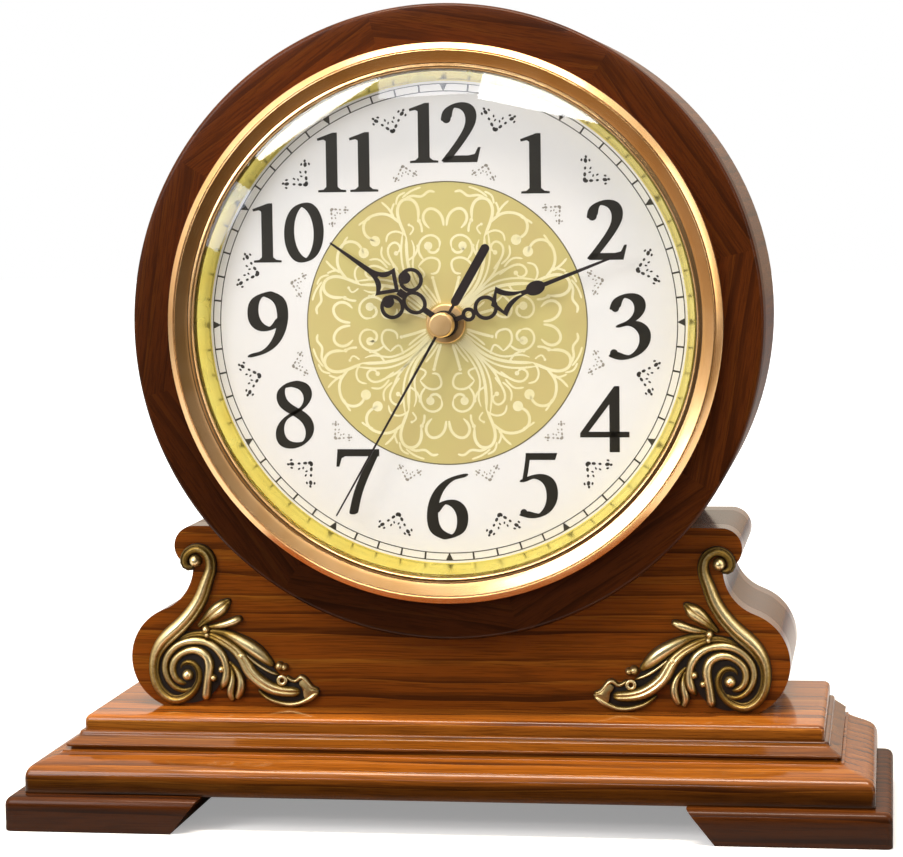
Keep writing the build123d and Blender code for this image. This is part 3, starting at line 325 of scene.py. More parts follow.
@dataclass(frozen=True)
class AntiqueBrass:
    """Cast brass, darkened and rubbed back: bright on its ridges, nearly black in its hollows."""

    name: str = "antique_brass_rubbed"
    ridge: str = "#ecdcaa"
    body: str = "#8d7236"
    hollow: str = "#1c120a"
    cast_size: float = 0.9
    cast_share: float = 0.3
    slot: str = "antique_brass"

    def material(self) -> Material:
        """Builds the brass: its attribute "relief" and cast noise choose hollow, body or ridge."""
        material, tree = new_material(self.name)
        relief = add_node(tree, "Attribute", attribute_name="relief").outputs["Fac"]
        cast = clouds(tree, object_place(tree), self.cast_size)
        rubbed = calculate(tree, "MULTIPLY_ADD", cast, self.cast_share, relief)
        surface = {
            "Base Color": ramp(tree, rubbed, (0.22, self.hollow), (0.56, self.body), (1.02, self.ridge)),
            "Metallic": remap(tree, rubbed, 0.2, 0.55, 0.5, 1.0, "LINEAR"),
            "Roughness": remap(tree, rubbed, 0.3, 1.0, 0.55, 0.33, "LINEAR"),
            "Normal": bump(tree, cast, 0.18, 0.2),
        }
        return principled(material, surface)


@dataclass(frozen=True)
class ClearGlass:
    """Pressed clear glass: see-through straight on, and mirror-like at a glance."""

    name: str = "domed_clear_glass"
    slot: str = "clear_glass"
    mirror_share: float = 0.035

    def material(self) -> Material:
        """Builds the glass: a mirror whose opacity is r + (1 - r) * facing ** 5.

        Facing is one less the cosine of the angle between the ray and the surface.

        Returns:
            The material.
        """
        material, tree = new_material(self.name)
        facing = add_node(tree, "LayerWeight", {"Blend": 0.5}).outputs["Facing"]
        steep = calculate(tree, "POWER", facing, 5.0)
        share = calculate(tree, "MULTIPLY_ADD", steep, 1.0 - self.mirror_share, self.mirror_share)
        return principled(material, {"Base Color": WHITE, "Metallic": 1.0, "Roughness": 0.02, "Alpha": share})


@dataclass(frozen=True)
class SleevedCell:
    """A dry cell: a glossy green sleeve with a pale band, between bare nickelled ends."""

    name: str = "battery_sleeved"
    metal: str = "#cfcbc2"
    sleeve: str = "#2a6e47"
    band: str = "#d8c27a"
    half_length: float = 25.2
    sleeve_ends: tuple[float, float] = (0.02, 0.955)
    band_ends: tuple[float, float] = (0.66, 0.78)
    slot: str = "battery_jacket"

    def material(self) -> Material:
        """Builds the cell: its place along X chooses metal, sleeve or band, and noise dulls its shine."""
        material, tree = new_material(self.name)
        place = object_place(tree)
        reach = self.half_length * MM
        x = add_node(tree, "SeparateXYZ", {"Vector": place})
        along = remap(tree, x, -reach, reach, 0.0, 1.0, "LINEAR")
        (first, last), (left, right) = self.sleeve_ends, self.band_ends
        colours = ((first, self.sleeve), (left, self.band), (right, self.sleeve), (last, self.metal))
        tint = ramp(tree, along, (0.0, self.metal), *colours)
        bare = ramp(tree, along, (0.0, 1.0), (first, 0.0), (last, 1.0))
        for stepped in (tint, bare):
            stepped.color_ramp.interpolation = "CONSTANT"
        haze = remap(tree, clouds(tree, place, 4.0), 0.0, 1.0, 0.2, 0.42, "LINEAR")
        return principled(material, {"Base Color": tint, "Metallic": bare, "Roughness": haze})


@dataclass(frozen=True)
class PlainCoat:
    """An even coat of paint, ink, plastic or enamel, with faint clouds and a fine skin."""

    name: str
    colour: str
    cloud: str
    slot: str = "printed_dial"
    roughness: float = 0.4
    cloud_size: float = 12.0
    skin_size: float = 0.6
    skin_depth: float = 0.003
    metallic: float = 0.0

    def material(self) -> Material:
        """Builds the coat: slow noise mixes two close colours, and fine noise gives it a skin."""
        material, tree = new_material(self.name)
        place = object_place(tree)
        slow = clouds(tree, place, self.cloud_size, 2.0)
        surface = {
            "Base Color": ramp(tree, slow, (0.4, self.colour), (0.62, self.cloud)),
            "Roughness": self.roughness,
            "Metallic": self.metallic,
            "Normal": bump(tree, clouds(tree, place, self.skin_size, 2.0), 0.3, self.skin_depth),
        }
        return principled(material, surface)


ZINC = PolishedMetal("zinc_plated_screws", "#aeaba4", "#8d897f", "steel", 0.32, 0.45, 2.0)


# Surfaces


def dial_point(right: np.ndarray, up: np.ndarray, ahead: np.ndarray) -> np.ndarray:
    """Places points given in millimetres from the middle of the dial.

    Args:
        right: Distances to the right.
        up: Distances up.
        ahead: Distances ahead of the middle plane.

    Returns:
        Points in metres, in the frame: (right, -ahead, axis height + up).
    """
    right, up, ahead = np.broadcast_arrays(right, up, ahead)
    return np.stack([right, -ahead, AXIS_HEIGHT + up], axis=-1) * MM


def floor_point(right: np.ndarray, up: np.ndarray, ahead: np.ndarray) -> np.ndarray:
    """Places points whose height counts from the floor, as dial_point does from the dial."""
    return dial_point(right, np.asarray(up) - AXIS_HEIGHT, ahead)


def add_object(name: str, data: ID) -> Object:
    """Adds an object to the scene, at the origin."""
    piece = bpy.data.objects.new(name, data)
    bpy.context.scene.collection.objects.link(piece)
    return piece


@dataclass
class Shell:
    """Points and faces that are gathered before they become one piece."""

    points: list[np.ndarray] = field(default_factory=list)
    faces: list[list[int]] = field(default_factory=list)
    values: list[np.ndarray] = field(default_factory=list)
    count: int = 0

    def add(
        self, points: np.ndarray, faces: Sequence[Sequence[int]], values: np.ndarray | None = None
    ) -> None:
        """Adds a patch.

        Args:
            points: Points in metres, of any grid shape.
            faces: Faces by point number within the patch.
            values: One number for each point, kept as an attribute, or nothing.
        """
        flat = points.reshape(-1, 3)
        self.faces.extend((np.asarray(faces) + self.count).tolist())
        self.points.append(flat)
        self.values.append(np.zeros(len(flat)) if values is None else np.asarray(values).reshape(-1))
        self.count += len(flat)

    def add_grid(
        self,
        grid: np.ndarray,
        wrap_rows: bool = False,
        wrap_columns: bool = False,
        values: np.ndarray | None = None,
        caps: tuple = (),
    ) -> None:
        """Adds a grid of points with four-sided faces between them.

        Args:
            grid: The points.
            wrap_rows: Whether the last row joins the first.
            wrap_columns: Whether the last column joins the first.
            values: One number for each point, or nothing.
            caps: Rows or columns that a face of their own closes.
        """
        rows, columns = grid.shape[:2]
        number = np.arange(rows * columns).reshape(rows, columns)
        wrapped = np.pad(number, ((0, int(wrap_rows)), (0, int(wrap_columns))), mode="wrap")
        corners = [wrapped[:-1, :-1], wrapped[:-1, 1:], wrapped[1:, 1:], wrapped[1:, :-1]]
        start = self.count
        self.add(grid, np.stack(corners, axis=-1).reshape(-1, 4), values)
        self.faces.extend((number[cap] + start).tolist() for cap in caps)

    def build(self, name: str, attribute: str | None = None) -> Object:
        """Makes the piece, and keeps the points' values under the attribute's name, if it has one."""
        mesh = bpy.data.meshes.new(name)
        mesh.from_pydata(np.concatenate(self.points).tolist(), [], self.faces)
        if attribute:
            layer = mesh.attributes.new(attribute, "FLOAT", "POINT")
            layer.data.foreach_set("value", np.concatenate(self.values).astype(np.float32))
        return add_object(name, mesh)


@contextmanager
def opened(piece: Object) -> Iterator[bmesh.types.BMesh]:
    """Opens a piece's mesh to be changed, and writes it back."""
    shape = bmesh.new()
    shape.from_mesh(piece.data)
    yield shape
    shape.to_mesh(piece.data)
    shape.free()


def smooth_faces(shape: bmesh.types.BMesh, sharp_degrees: float) -> None:
    """Smooths a shape but for the edges that turn more than an angle."""
    for face in shape.faces:
        face.smooth = True
    limit = np.radians(sharp_degrees)
    for edge in shape.edges:
        edge.smooth = len(edge.link_faces) == 2 and bool(edge.calc_face_angle(0.0) < limit)


def close_up(piece: Object, gap: float = MERGE_GAP, sharp_degrees: float = 35.0) -> Object:
    """Merges a piece's doubles, turns its faces outwards and smooths it up to an angle.

    Args:
        piece: The piece, a closed surface.
        gap: Points nearer than this become one.
        sharp_degrees: Edges that turn more than this stay sharp.

    Returns:
        The piece.
    """
    with opened(piece) as shape:
        bmesh.ops.remove_doubles(shape, verts=shape.verts, dist=gap)
        bmesh.ops.dissolve_degenerate(shape, edges=shape.edges, dist=gap)
        bmesh.ops.recalc_face_normals(shape, faces=shape.faces)
        smooth_faces(shape, sharp_degrees)
    return piece


class Workshop:
    """Finishes, fits and reports the pieces of the clock."""

    def __init__(self) -> None:
        """Starts with no finish mixed."""
        self.mixed: dict[str, Material] = {}

    def finish(self, recipe: Finish) -> Material:
        """Gives the material of a finish, mixed once."""
        if recipe.name not in self.mixed:
            self.mixed[recipe.name] = recipe.material()
        return self.mixed[recipe.name]

    def fit(self, piece: Object, recipe: Finish, body: str, replaces: Sequence[str] = ()) -> Object:
        """Gives a new piece its finish, its body and the nodes that it stands for.

        Args:
            piece: The new piece.
            recipe: Its finish.
            body: The body of the frame that it moves with.
            replaces: Nodes of the frame that it hides.

        Returns:
            The piece.
        """
        piece.data.materials.clear()
        piece.data.materials.append(self.finish(recipe))
        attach(piece, body)
        if replaces:
            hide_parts(*replaces)
        log.info("%s on %s: %d faces", piece.name, body, len(piece.data.polygons))
        return piece

    def cut(self, piece: Object, tool: Object) -> Object:
        """Cuts one closed shape out of another and gives the first."""
        close_up(piece, sharp_degrees=70.0)
        cut = piece.modifiers.new("cut", "BOOLEAN")
        cut.object, cut.operation, cut.solver = tool, "DIFFERENCE", "EXACT"
        done = bpy.data.meshes.new_from_object(piece.evaluated_get(bpy.context.evaluated_depsgraph_get()))
        piece.modifiers.clear()
        piece.data = done
        return close_up(piece, sharp_degrees=40.0)

    def dress(self, recipe: Finish, *nodes: str) -> None:
        """Gives nodes of the frame, whose shapes stay, their finish."""
        for node in nodes:
            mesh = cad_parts[node].data
            mesh.materials.clear()
            mesh.materials.append(self.finish(recipe))
            log.info("%s keeps its shape: %s", node, recipe.name)

    def refine(
        self, node: str, recipe: Finish, body: str = "case", edge: float = 0.0, sharp_degrees: float = 35.0
    ) -> Object:
        """Replaces a node by a merged copy with softened edges.

        Args:
            node: The node of the frame.
            recipe: Its finish.
            body: Its body.
            edge: The width of the softening, in millimetres, or nothing.
            sharp_degrees: Edges that turn more than this are softened.

        Returns:
            The piece.
        """
        piece = add_object(node + "_finished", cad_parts[node].data.copy())
        with opened(piece) as shape:
            bmesh.ops.remove_doubles(shape, verts=shape.verts, dist=MERGE_GAP)
            bmesh.ops.dissolve_limit(
                shape, angle_limit=np.radians(0.4), verts=shape.verts, edges=shape.edges, delimit={"NORMAL"}
            )
            smooth_faces(shape, sharp_degrees)
        if edge:
            soften = piece.modifiers.new("softened_edges", "BEVEL")
            soften.width, soften.segments, soften.harden_normals = edge * MM, 3, True
            soften.limit_method, soften.angle_limit = "ANGLE", np.radians(sharp_degrees)
        return self.fit(piece, recipe, body, [node])


def angles(steps: int) -> np.ndarray:
    """Gives even angles round a full turn, as a column."""
    return (np.arange(steps) * FULL_TURN / steps)[:, None]


def turned_grid(radius: np.ndarray, ahead: np.ndarray, segments: int, start: float = 0.0) -> np.ndarray:
    """Turns a profile about the dial's axis.

    Args:
        radius: The profile's distances from the axis.
        ahead: Its distances ahead.
        segments: Steps round the axis.
        start: The angle of the first step.

    Returns:
        Points (radius * sin(a), radius * cos(a), ahead) for each step a round the axis, then along the
        profile.
    """
    angle = start + angles(segments)
    return dial_point(np.sin(angle) * radius, np.cos(angle) * radius, ahead)


def turned_piece(
    name: str, profile: Sequence[Sequence[float]], segments: int, sharp_degrees: float, closed: bool = True
) -> Object:
    """Turns a profile of (radius, ahead) to a piece; a closed profile's end joins its start."""
    shell = Shell()
    grid = turned_grid(*np.array(profile, float).T, segments)
    shell.add_grid(grid, wrap_rows=True, wrap_columns=closed)
    return close_up(shell.build(name), sharp_degrees=sharp_degrees)


def eased(corners: Triples, steps: int = 9) -> np.ndarray:
    """Eases the corners of a profile.

    A corner p between the directions u and v of its two sides becomes p + t ((1 - s) ** 2 u + s ** 2 v)
    for s from 0 to 1, where t is how far the easing reaches along each side.

    Args:
        corners: Each corner as (inset, height, reach of its easing).
        steps: Points of an eased corner.

    Returns:
        The profile's points, one row each.
    """
    place = np.array([corner[:2] for corner in corners], float)
    share = np.linspace(0.0, 1.0, steps)[:, None]
    rows = []
    for i, (_, _, reach) in enumerate(corners):
        if not reach or i in (0, len(corners) - 1):
            rows.append(place[i : i + 1])
            continue
        before, after = place[i - 1] - place[i], place[i + 1] - place[i]
        u, v = before / np.linalg.norm(before), after / np.linalg.norm(after)
        rows.append(place[i] + reach * ((1.0 - share) ** 2 * u + share**2 * v))
    return np.concatenate(rows)


def smooth_line(points: Sequence[Sequence[float]], count: int) -> np.ndarray:
    """Draws a natural cubic line through points.

    The second derivatives m solve h[i-1] m[i-1] + 2 (h[i-1] + h[i]) m[i] + h[i] m[i+1] = 6 (d[i] - d[i-1]),
    where h is the chord length and d the slope of each span.

    Args:
        points: The points that it passes, with any number of columns, such as a width beside a place.
        count: Points wanted, evenly along the chords.

    Returns:
        The points of the line, one row each.
    """
    knots = np.array(points, float)
    chord = np.linalg.norm(np.diff(knots[:, :2], axis=0), axis=1)
    place = np.concatenate([[0.0], np.cumsum(chord)])
    slope = np.diff(knots, axis=0) / chord[:, None]
    size = len(knots)
    matrix = np.eye(size)
    inner = np.arange(1, size - 1)
    matrix[inner, inner - 1] = chord[:-1]
    matrix[inner, inner] = 2.0 * (chord[:-1] + chord[1:])
    matrix[inner, inner + 1] = chord[1:]
    right_side = np.zeros_like(knots)
    right_side[1:-1] = 6.0 * np.diff(slope, axis=0)
    second = np.linalg.solve(matrix, right_side)
    wanted = np.linspace(0.0, place[-1], count)
    span = np.clip(np.searchsorted(place, wanted, side="right") - 1, 0, size - 2)
    h = chord[span][:, None]
    a = ((place[span + 1] - wanted)[:, None]) / h
    b = 1.0 - a
    bend = ((a**3 - a) * second[span] + (b**3 - b) * second[span + 1]) * h**2 / 6.0
    return a * knots[span] + b * knots[span + 1] + bend


def across(line: np.ndarray) -> np.ndarray:
    """Gives the unit direction to the left of a flat line at each of its points."""
    ahead = np.gradient(line[:, :2], axis=0)
    ahead /= np.linalg.norm(ahead, axis=1)[:, None]
    return np.stack([-ahead[:, 1], ahead[:, 0]], axis=-1)


# Wooden case


class WoodTones:
    """The stained oak of each part of the case, with the run of its grain, and on the boards and the feet
    painted shade that darkens their lower faces.
    """

    # the last three numbers of the upper boards, the lower boards and the feet are their painted shade by
    # height: (low, high, share)
    upper_boards = LacqueredOak(
        "oak_upper_boards", Grain.ACROSS, 0.13, "#ad621c", "#5c2c0c", "#c67d2c", 0.6, 0.08, (33.5, 36.4, 0.44)
    )
    lower_boards = LacqueredOak(
        "oak_lower_boards", Grain.ACROSS, 0.37, "#8f4f15", "#4c250a", "#ae6a24", 0.5, 0.1, (15.5, 22.0, 0.15)
    )
    waist = LacqueredOak("oak_waist_panels", Grain.ACROSS, 0.57, "#743a0d", "#421f08", "#885016", 0.8)
    sides = LacqueredOak("oak_bent_sides", Grain.UPRIGHT, 0.91, "#633612", "#40210c", "#784a1b", 0.6)
    ring = LacqueredOak(
        "oak_ring_segments", Grain.SEGMENT, 0.31, "#7a3a0f", "#582809", "#864612", 0.3, 0.25,
        band_width=3.0, band_length=60.0, pore_width=0.5, pore_length=10.0, pore_share=0.6,
    )
    shell = LacqueredOak("oak_drum_barrel", Grain.DEEP, 0.77, "#582d10", "#351908", "#6f4118", 0.45, 0.25)
    feet = LacqueredOak(
        "oak_feet", Grain.ACROSS, 0.43, "#502709", "#321706", "#683811", 0.25, 0.2, (7.0, 12.0, 0.36)
    )


@dataclass(frozen=True)
class MouldedBoard:
    """A board whose moulded edge returns round both front corners and ends square at the back.

    Its edge climbs through corners of (inset, height, reach of the easing).
    """

    node: str
    finish: LacqueredOak
    edge: Triples
    half_width: float = 150.0
    half_depth: float = 55.0
    corner_round: float = 1.6
    corner_steps: int = 7

    def left_end(
        self, height: np.ndarray, edge: np.ndarray, corner: np.ndarray
    ) -> tuple[np.ndarray, np.ndarray]:
        """Gives where each row of the edge starts, and its left corner.

        Args:
            height: The rows' heights.
            edge: How far each row reaches, (out, ahead).
            corner: The points of the rounded right corner of each row.

        Returns:
            The rows' first distances to the right, and the corner's mirror image.
        """
        return -edge[..., :1], corner[:, ::-1] * (-1.0, 1.0)

    def build(self, name: str) -> Object:
        """Carries the edge round three sides of the board.

        A row of the grid, at the height z and the inset i, runs up the left side, round an arc of the
        corner's radius, across the front, round the other arc and back along the right side.

        Args:
            name: The board's name.

        Returns:
            The board.
        """
        inset, height = eased(self.edge).T
        edge = np.stack([self.half_width - inset, self.half_depth - inset], axis=-1)[:, None]
        turn = np.linspace(0.0, QUARTER, self.corner_steps)
        arc = self.corner_round * np.stack([np.sin(turn), np.cos(turn)], axis=-1)
        corner = edge - self.corner_round + arc
        start, left = self.left_end(height, edge, corner)
        rear = np.full_like(start, -self.half_depth)
        sides = [np.concatenate([x, rear], axis=-1) for x in (start, edge[..., :1])]
        rows = np.concatenate([sides[0], left, corner, sides[1]], axis=1)
        shell = Shell()
        grid = floor_point(rows[..., 0], height[:, None], rows[..., 1])
        shell.add_grid(grid, wrap_columns=True, caps=ROW_ENDS)
        return shell.build(name)


@dataclass(frozen=True)
class Foot(MouldedBoard):
    """A foot: moulded at the front and on its outer side, with a sloping inner end."""

    gap_at_floor: float = 92.1
    gap_at_top: float = 82.5
    top: float = 12.0

    def left_end(
        self, height: np.ndarray, edge: np.ndarray, corner: np.ndarray
    ) -> tuple[np.ndarray, np.ndarray]:
        """Gives the inner end: the line from the gap at the floor to the gap at the top, cut straight."""
        start = self.gap_at_floor + (self.gap_at_top - self.gap_at_floor) * height / self.top
        start = start[:, None, None]
        return start, np.concatenate([start, edge[..., 1:]], axis=-1)


@dataclass(frozen=True)
class ScrewSet:
    """Four upright screws: how far out they stand, how far ahead the front and the rear ones, and more."""

    out: float
    ahead: tuple[float, float]
    base: float
    length: float


@dataclass
class Plinth:
    """The stepped boards and the feet, drilled for their screws."""

    boards: tuple[MouldedBoard, ...] = (
        MouldedBoard(
            "plinth_lower",
            WoodTones.lower_boards,
            ((5.6, 12.0, 0.0), (5.6, 20.9, 3.9), (15.2, 24.1, 0.8), (16.0, 24.6, 0.2), (16.0, 25.2, 0.0)),
        ),
        MouldedBoard(
            "plinth_moulding",
            WoodTones.upper_boards,
            (
                (18.4, 25.2, 0.0), (18.4, 26.3, 0.0), (17.3, 26.3, 0.2), (17.0, 26.7, 0.2),
                (17.0, 27.2, 0.2), (20.9, 29.7, 0.5), (21.2, 31.3, 0.9), (24.0, 31.3, 0.0),
            ),
        ),
        MouldedBoard(
            "plinth_top", WoodTones.upper_boards, ((22.6, 31.3, 0.0), (22.6, 36.5, 2.7), (30.0, 36.5, 0.0))
        ),
    )
    foot_edge: Triples = ((0.4, 0.0, 0.0), (0.0, 0.4, 0.3), (0.0, 12.0, 3.4), (8.0, 12.0, 0.0))
    foot_corner: float = 2.0
    screws: tuple[ScrewSet, ...] = (
        ScrewSet(121.05, (33.0, -33.0), 0.0, 22.0),
        ScrewSet(60.0, (6.0, -49.0), 12.0, 40.0),
    )
    head_radius: float = 3.65
    shank_radius: float = 1.8
    head_height: float = 2.0
    sink: float = 0.3
    overrun: float = 0.8
    plug_tip: float = 0.001

    def build(self, shop: Workshop) -> None:
        """Builds the boards and the feet, and dresses the screws below them."""
        holes = self.holes()
        for board in self.boards:
            piece = board.build(board.node + "_moulded")
            shop.fit(shop.cut(piece, holes), board.finish, "case", [board.node])
        for node, hand in (("foot_right", 1.0), ("foot_left", -1.0)):
            foot = Foot(node, WoodTones.feet, self.foot_edge, corner_round=self.foot_corner)
            piece = foot.build(node + "_moulded")
            piece.data.transform(Matrix.Scale(hand, 4, (1.0, 0.0, 0.0)))
            shop.fit(shop.cut(piece, holes), foot.finish, "case", [node])
        bpy.data.objects.remove(holes)
        shop.dress(ZINC, "foot_screws", "plinth_screws")

    def holes(self) -> Object:
        """Turns the plugs that the screw holes are cut with, each about its upright axis."""
        shell = Shell()
        turn = angles(24)
        head, shank, tip = self.head_radius, self.shank_radius, self.plug_tip
        radius = np.array([tip, head, head, shank, shank, tip])
        for screws in self.screws:
            below, face = screws.base - self.overrun, screws.base + self.sink
            end = face + screws.length
            height = np.array([below, below, face, face + self.head_height, end, end])
            for x in (-screws.out, screws.out):
                for y in screws.ahead:
                    grid = floor_point(x + np.sin(turn) * radius, height, y + np.cos(turn) * radius)
                    shell.add_grid(grid, wrap_rows=True)
        return close_up(shell.build("screw_plugs"))


@dataclass
class Waist:
    """The scroll-cut panels and their bent sides."""

    panel_edge: float = 1.4
    side_edge: float = 0.4

    def build(self, shop: Workshop) -> None:
        """Dresses the panels and the sides with softened edges."""
        for node in ("waist_front", "waist_back"):
            shop.refine(node, WoodTones.waist, edge=self.panel_edge)
        for node in ("waist_side_right", "waist_side_left"):
            shop.refine(node, WoodTones.sides, edge=self.side_edge)


@dataclass
class DrumCase:
    """The drum: a front ring glued from segments, a barrel and a back board."""

    outer_radius: float = 107.7
    ledge_radius: float = 78.0
    seat_radius: float = 88.0
    seat_bevel: float = 0.4
    rear: float = 12.0
    face: float = 29.0
    ledge_face: float = 18.5
    edge_round: float = 1.6
    segments: int = 8
    steps_in_segment: int = 32
    first_joint_degrees: float = -13.0
    back: float = 55.0
    screw_circle: float = 100.85
    # a cover screw as (radius, depth below its face), and its cross: half its width and length, and its depth
    screw_profile: Pairs = (
        (0.001, 0.0), (2.3, 0.0), (2.55, 0.1), (2.68, 0.35), (1.4, 1.6), (1.4, 13.4), (0.001, 14.0),
    )
    cross_half: tuple[float, float] = (0.3, 1.45)
    cross_depth: float = 0.9
    cross_lean: float = 0.4
    # the ring's painted shade at the middle of each segment, darker towards the bottom as if lit from above, and
    # what the batch of each segment adds to it
    painted_shade_shares: tuple[float, ...] = (0.36, 0.36, 0.34, 0.22, 0.13, 0.18, 0.3, 0.42)
    batch_shares: tuple[float, ...] = (1.0, 0.9, 1.06, 0.96, 1.0, 1.05, 0.95, 1.04)
    # how far the grain moves on from one segment to the next, in metres
    grain_shift: tuple[float, float, float] = (0.37, 0.11, 0.05)

    def build(self, shop: Workshop) -> None:
        """Builds the ring and dresses the barrel and the back."""
        self.front_ring(shop)
        shop.refine("drum_shell", WoodTones.shell, edge=0.3)
        board = PlainCoat("fibreboard_stained", "#40240f", "#5a371d", "fibreboard", 0.6, 1.8, skin_depth=0.06)
        shop.refine("back_cover", board, edge=0.4)
        shop.dress(board, "dial_backing")
        self.cover_screws(shop)

    def cover_screws(self, shop: Workshop) -> None:
        """Turns the four screws of the back cover and cuts a cross into each head."""
        turn, quarters = angles(32), angles(4)
        radius, depth = np.array(self.screw_profile).T
        wide, long = self.cross_half
        across_arm, along_arm = np.array([(wide, wide), (wide, long), (-wide, long)]).T
        ends = np.array([-1.0, self.cross_depth]) - self.back
        screws, crosses = Shell(), Shell()
        for i in range(4):
            angle = (i + 0.5) * FULL_TURN / 4
            right, up = self.screw_circle * np.array([np.cos(angle), np.sin(angle)])
            rim = dial_point(right + np.sin(turn) * radius, up + np.cos(turn) * radius, depth - self.back)
            screws.add_grid(rim, wrap_rows=True)
            lean = self.cross_lean * i + quarters
            x = right + across_arm * np.cos(lean) - along_arm * np.sin(lean)
            y = up + across_arm * np.sin(lean) + along_arm * np.cos(lean)
            cross = dial_point(x.reshape(-1, 1), y.reshape(-1, 1), ends)
            crosses.add_grid(cross, wrap_rows=True, caps=COLUMN_ENDS)
        tool = close_up(crosses.build("screw_crosses"))
        piece = shop.cut(screws.build("back_cover_screws_crossed"), tool)
        shop.fit(piece, ZINC, "case", ["back_cover_screws"])
        bpy.data.objects.remove(tool)

    def front_ring(self, shop: Workshop) -> None:
        """Builds the ring: a profile, rounded at its outer edge by an arc, turned about the axis.

        Each of its segments has a grain of its own. The attribute "grain" gives a corner's place as
        (along the segment's chord, out from the axis, ahead), moved on for each segment, and the
        attribute "tone" holds painted shade by its place round the ring, darker towards the bottom, times a
        little tone of its own for each segment.
        """
        outer, seat, face = self.outer_radius, self.seat_radius, self.face
        middle = np.array([outer, face]) - self.edge_round
        turn = np.radians(np.linspace(0.0, 90.0, 9))[:, None]
        flat = np.linspace([middle[0], face], [seat + self.seat_bevel, face], 6)[1:]
        profile = np.concatenate(
            [
                [[self.ledge_radius, self.ledge_face], [self.ledge_radius, self.rear], [outer, self.rear]],
                middle + self.edge_round * np.concatenate([np.cos(turn), np.sin(turn)], axis=1),
                flat,
                [[seat, face - self.seat_bevel], [seat, self.ledge_face]],
            ]
        )
        steps = self.segments * self.steps_in_segment
        shell = Shell()
        grid = turned_grid(*profile.T, steps, np.radians(self.first_joint_degrees))
        shell.add_grid(grid, wrap_rows=True, wrap_columns=True)
        ring = shell.build("case_ring_segments")
        self.mark_segments(ring.data, len(profile))
        for polygon in ring.data.polygons:
            polygon.use_smooth = True
        ring.data.validate()
        crisp = ring.modifiers.new("crisp_corners", "EDGE_SPLIT")
        crisp.split_angle = np.radians(50.0)
        shop.fit(ring, WoodTones.ring, "case", ["case_ring"])

    def mark_segments(self, mesh: Mesh, columns: int) -> None:
        """Writes the attributes "grain" and "tone" to the corners of the ring's faces.

        Args:
            mesh: The ring, whose faces run along the profile first.
            columns: Points of the profile.
        """
        point = np.empty(len(mesh.loops), np.int32)
        mesh.loops.foreach_get("vertex_index", point)
        places = np.empty(len(mesh.vertices) * 3)
        mesh.vertices.foreach_get("co", places)
        right, depth, height = places.reshape(-1, 3)[point].T
        up = height - AXIS_HEIGHT * MM
        segment = np.repeat(np.arange(len(mesh.polygons)), 4) // columns // self.steps_in_segment
        middle = np.radians(self.first_joint_degrees) + (segment + 0.5) * FULL_TURN / self.segments
        along = right * np.cos(middle) - up * np.sin(middle)
        out = right * np.sin(middle) + up * np.cos(middle)
        grain = np.stack([along, out, -depth], axis=-1) + segment[:, None] * np.array(self.grain_shift)
        layer = mesh.attributes.new("grain", "FLOAT_VECTOR", "CORNER")
        layer.data.foreach_set("vector", grain.astype(np.float32).reshape(-1))
        # painted shade by the place round the ring, darker towards the bottom, times each segment's batch
        middles = self.first_joint_degrees + (np.arange(self.segments) + 0.5) * 360.0 / self.segments
        painted_shade = np.interp(np.degrees(np.arctan2(right, up)), middles, self.painted_shade_shares, period=360.0)
        shade_and_batch_tones = painted_shade * np.array(self.batch_shares)[segment]
        colour = np.stack([shade_and_batch_tones, shade_and_batch_tones, shade_and_batch_tones, np.ones_like(shade_and_batch_tones)], axis=-1)
        shade = mesh.attributes.new("tone", "FLOAT_COLOR", "CORNER")
        shade.data.foreach_set("color", colour.astype(np.float32).reshape(-1))


# Bezel, glass and dial


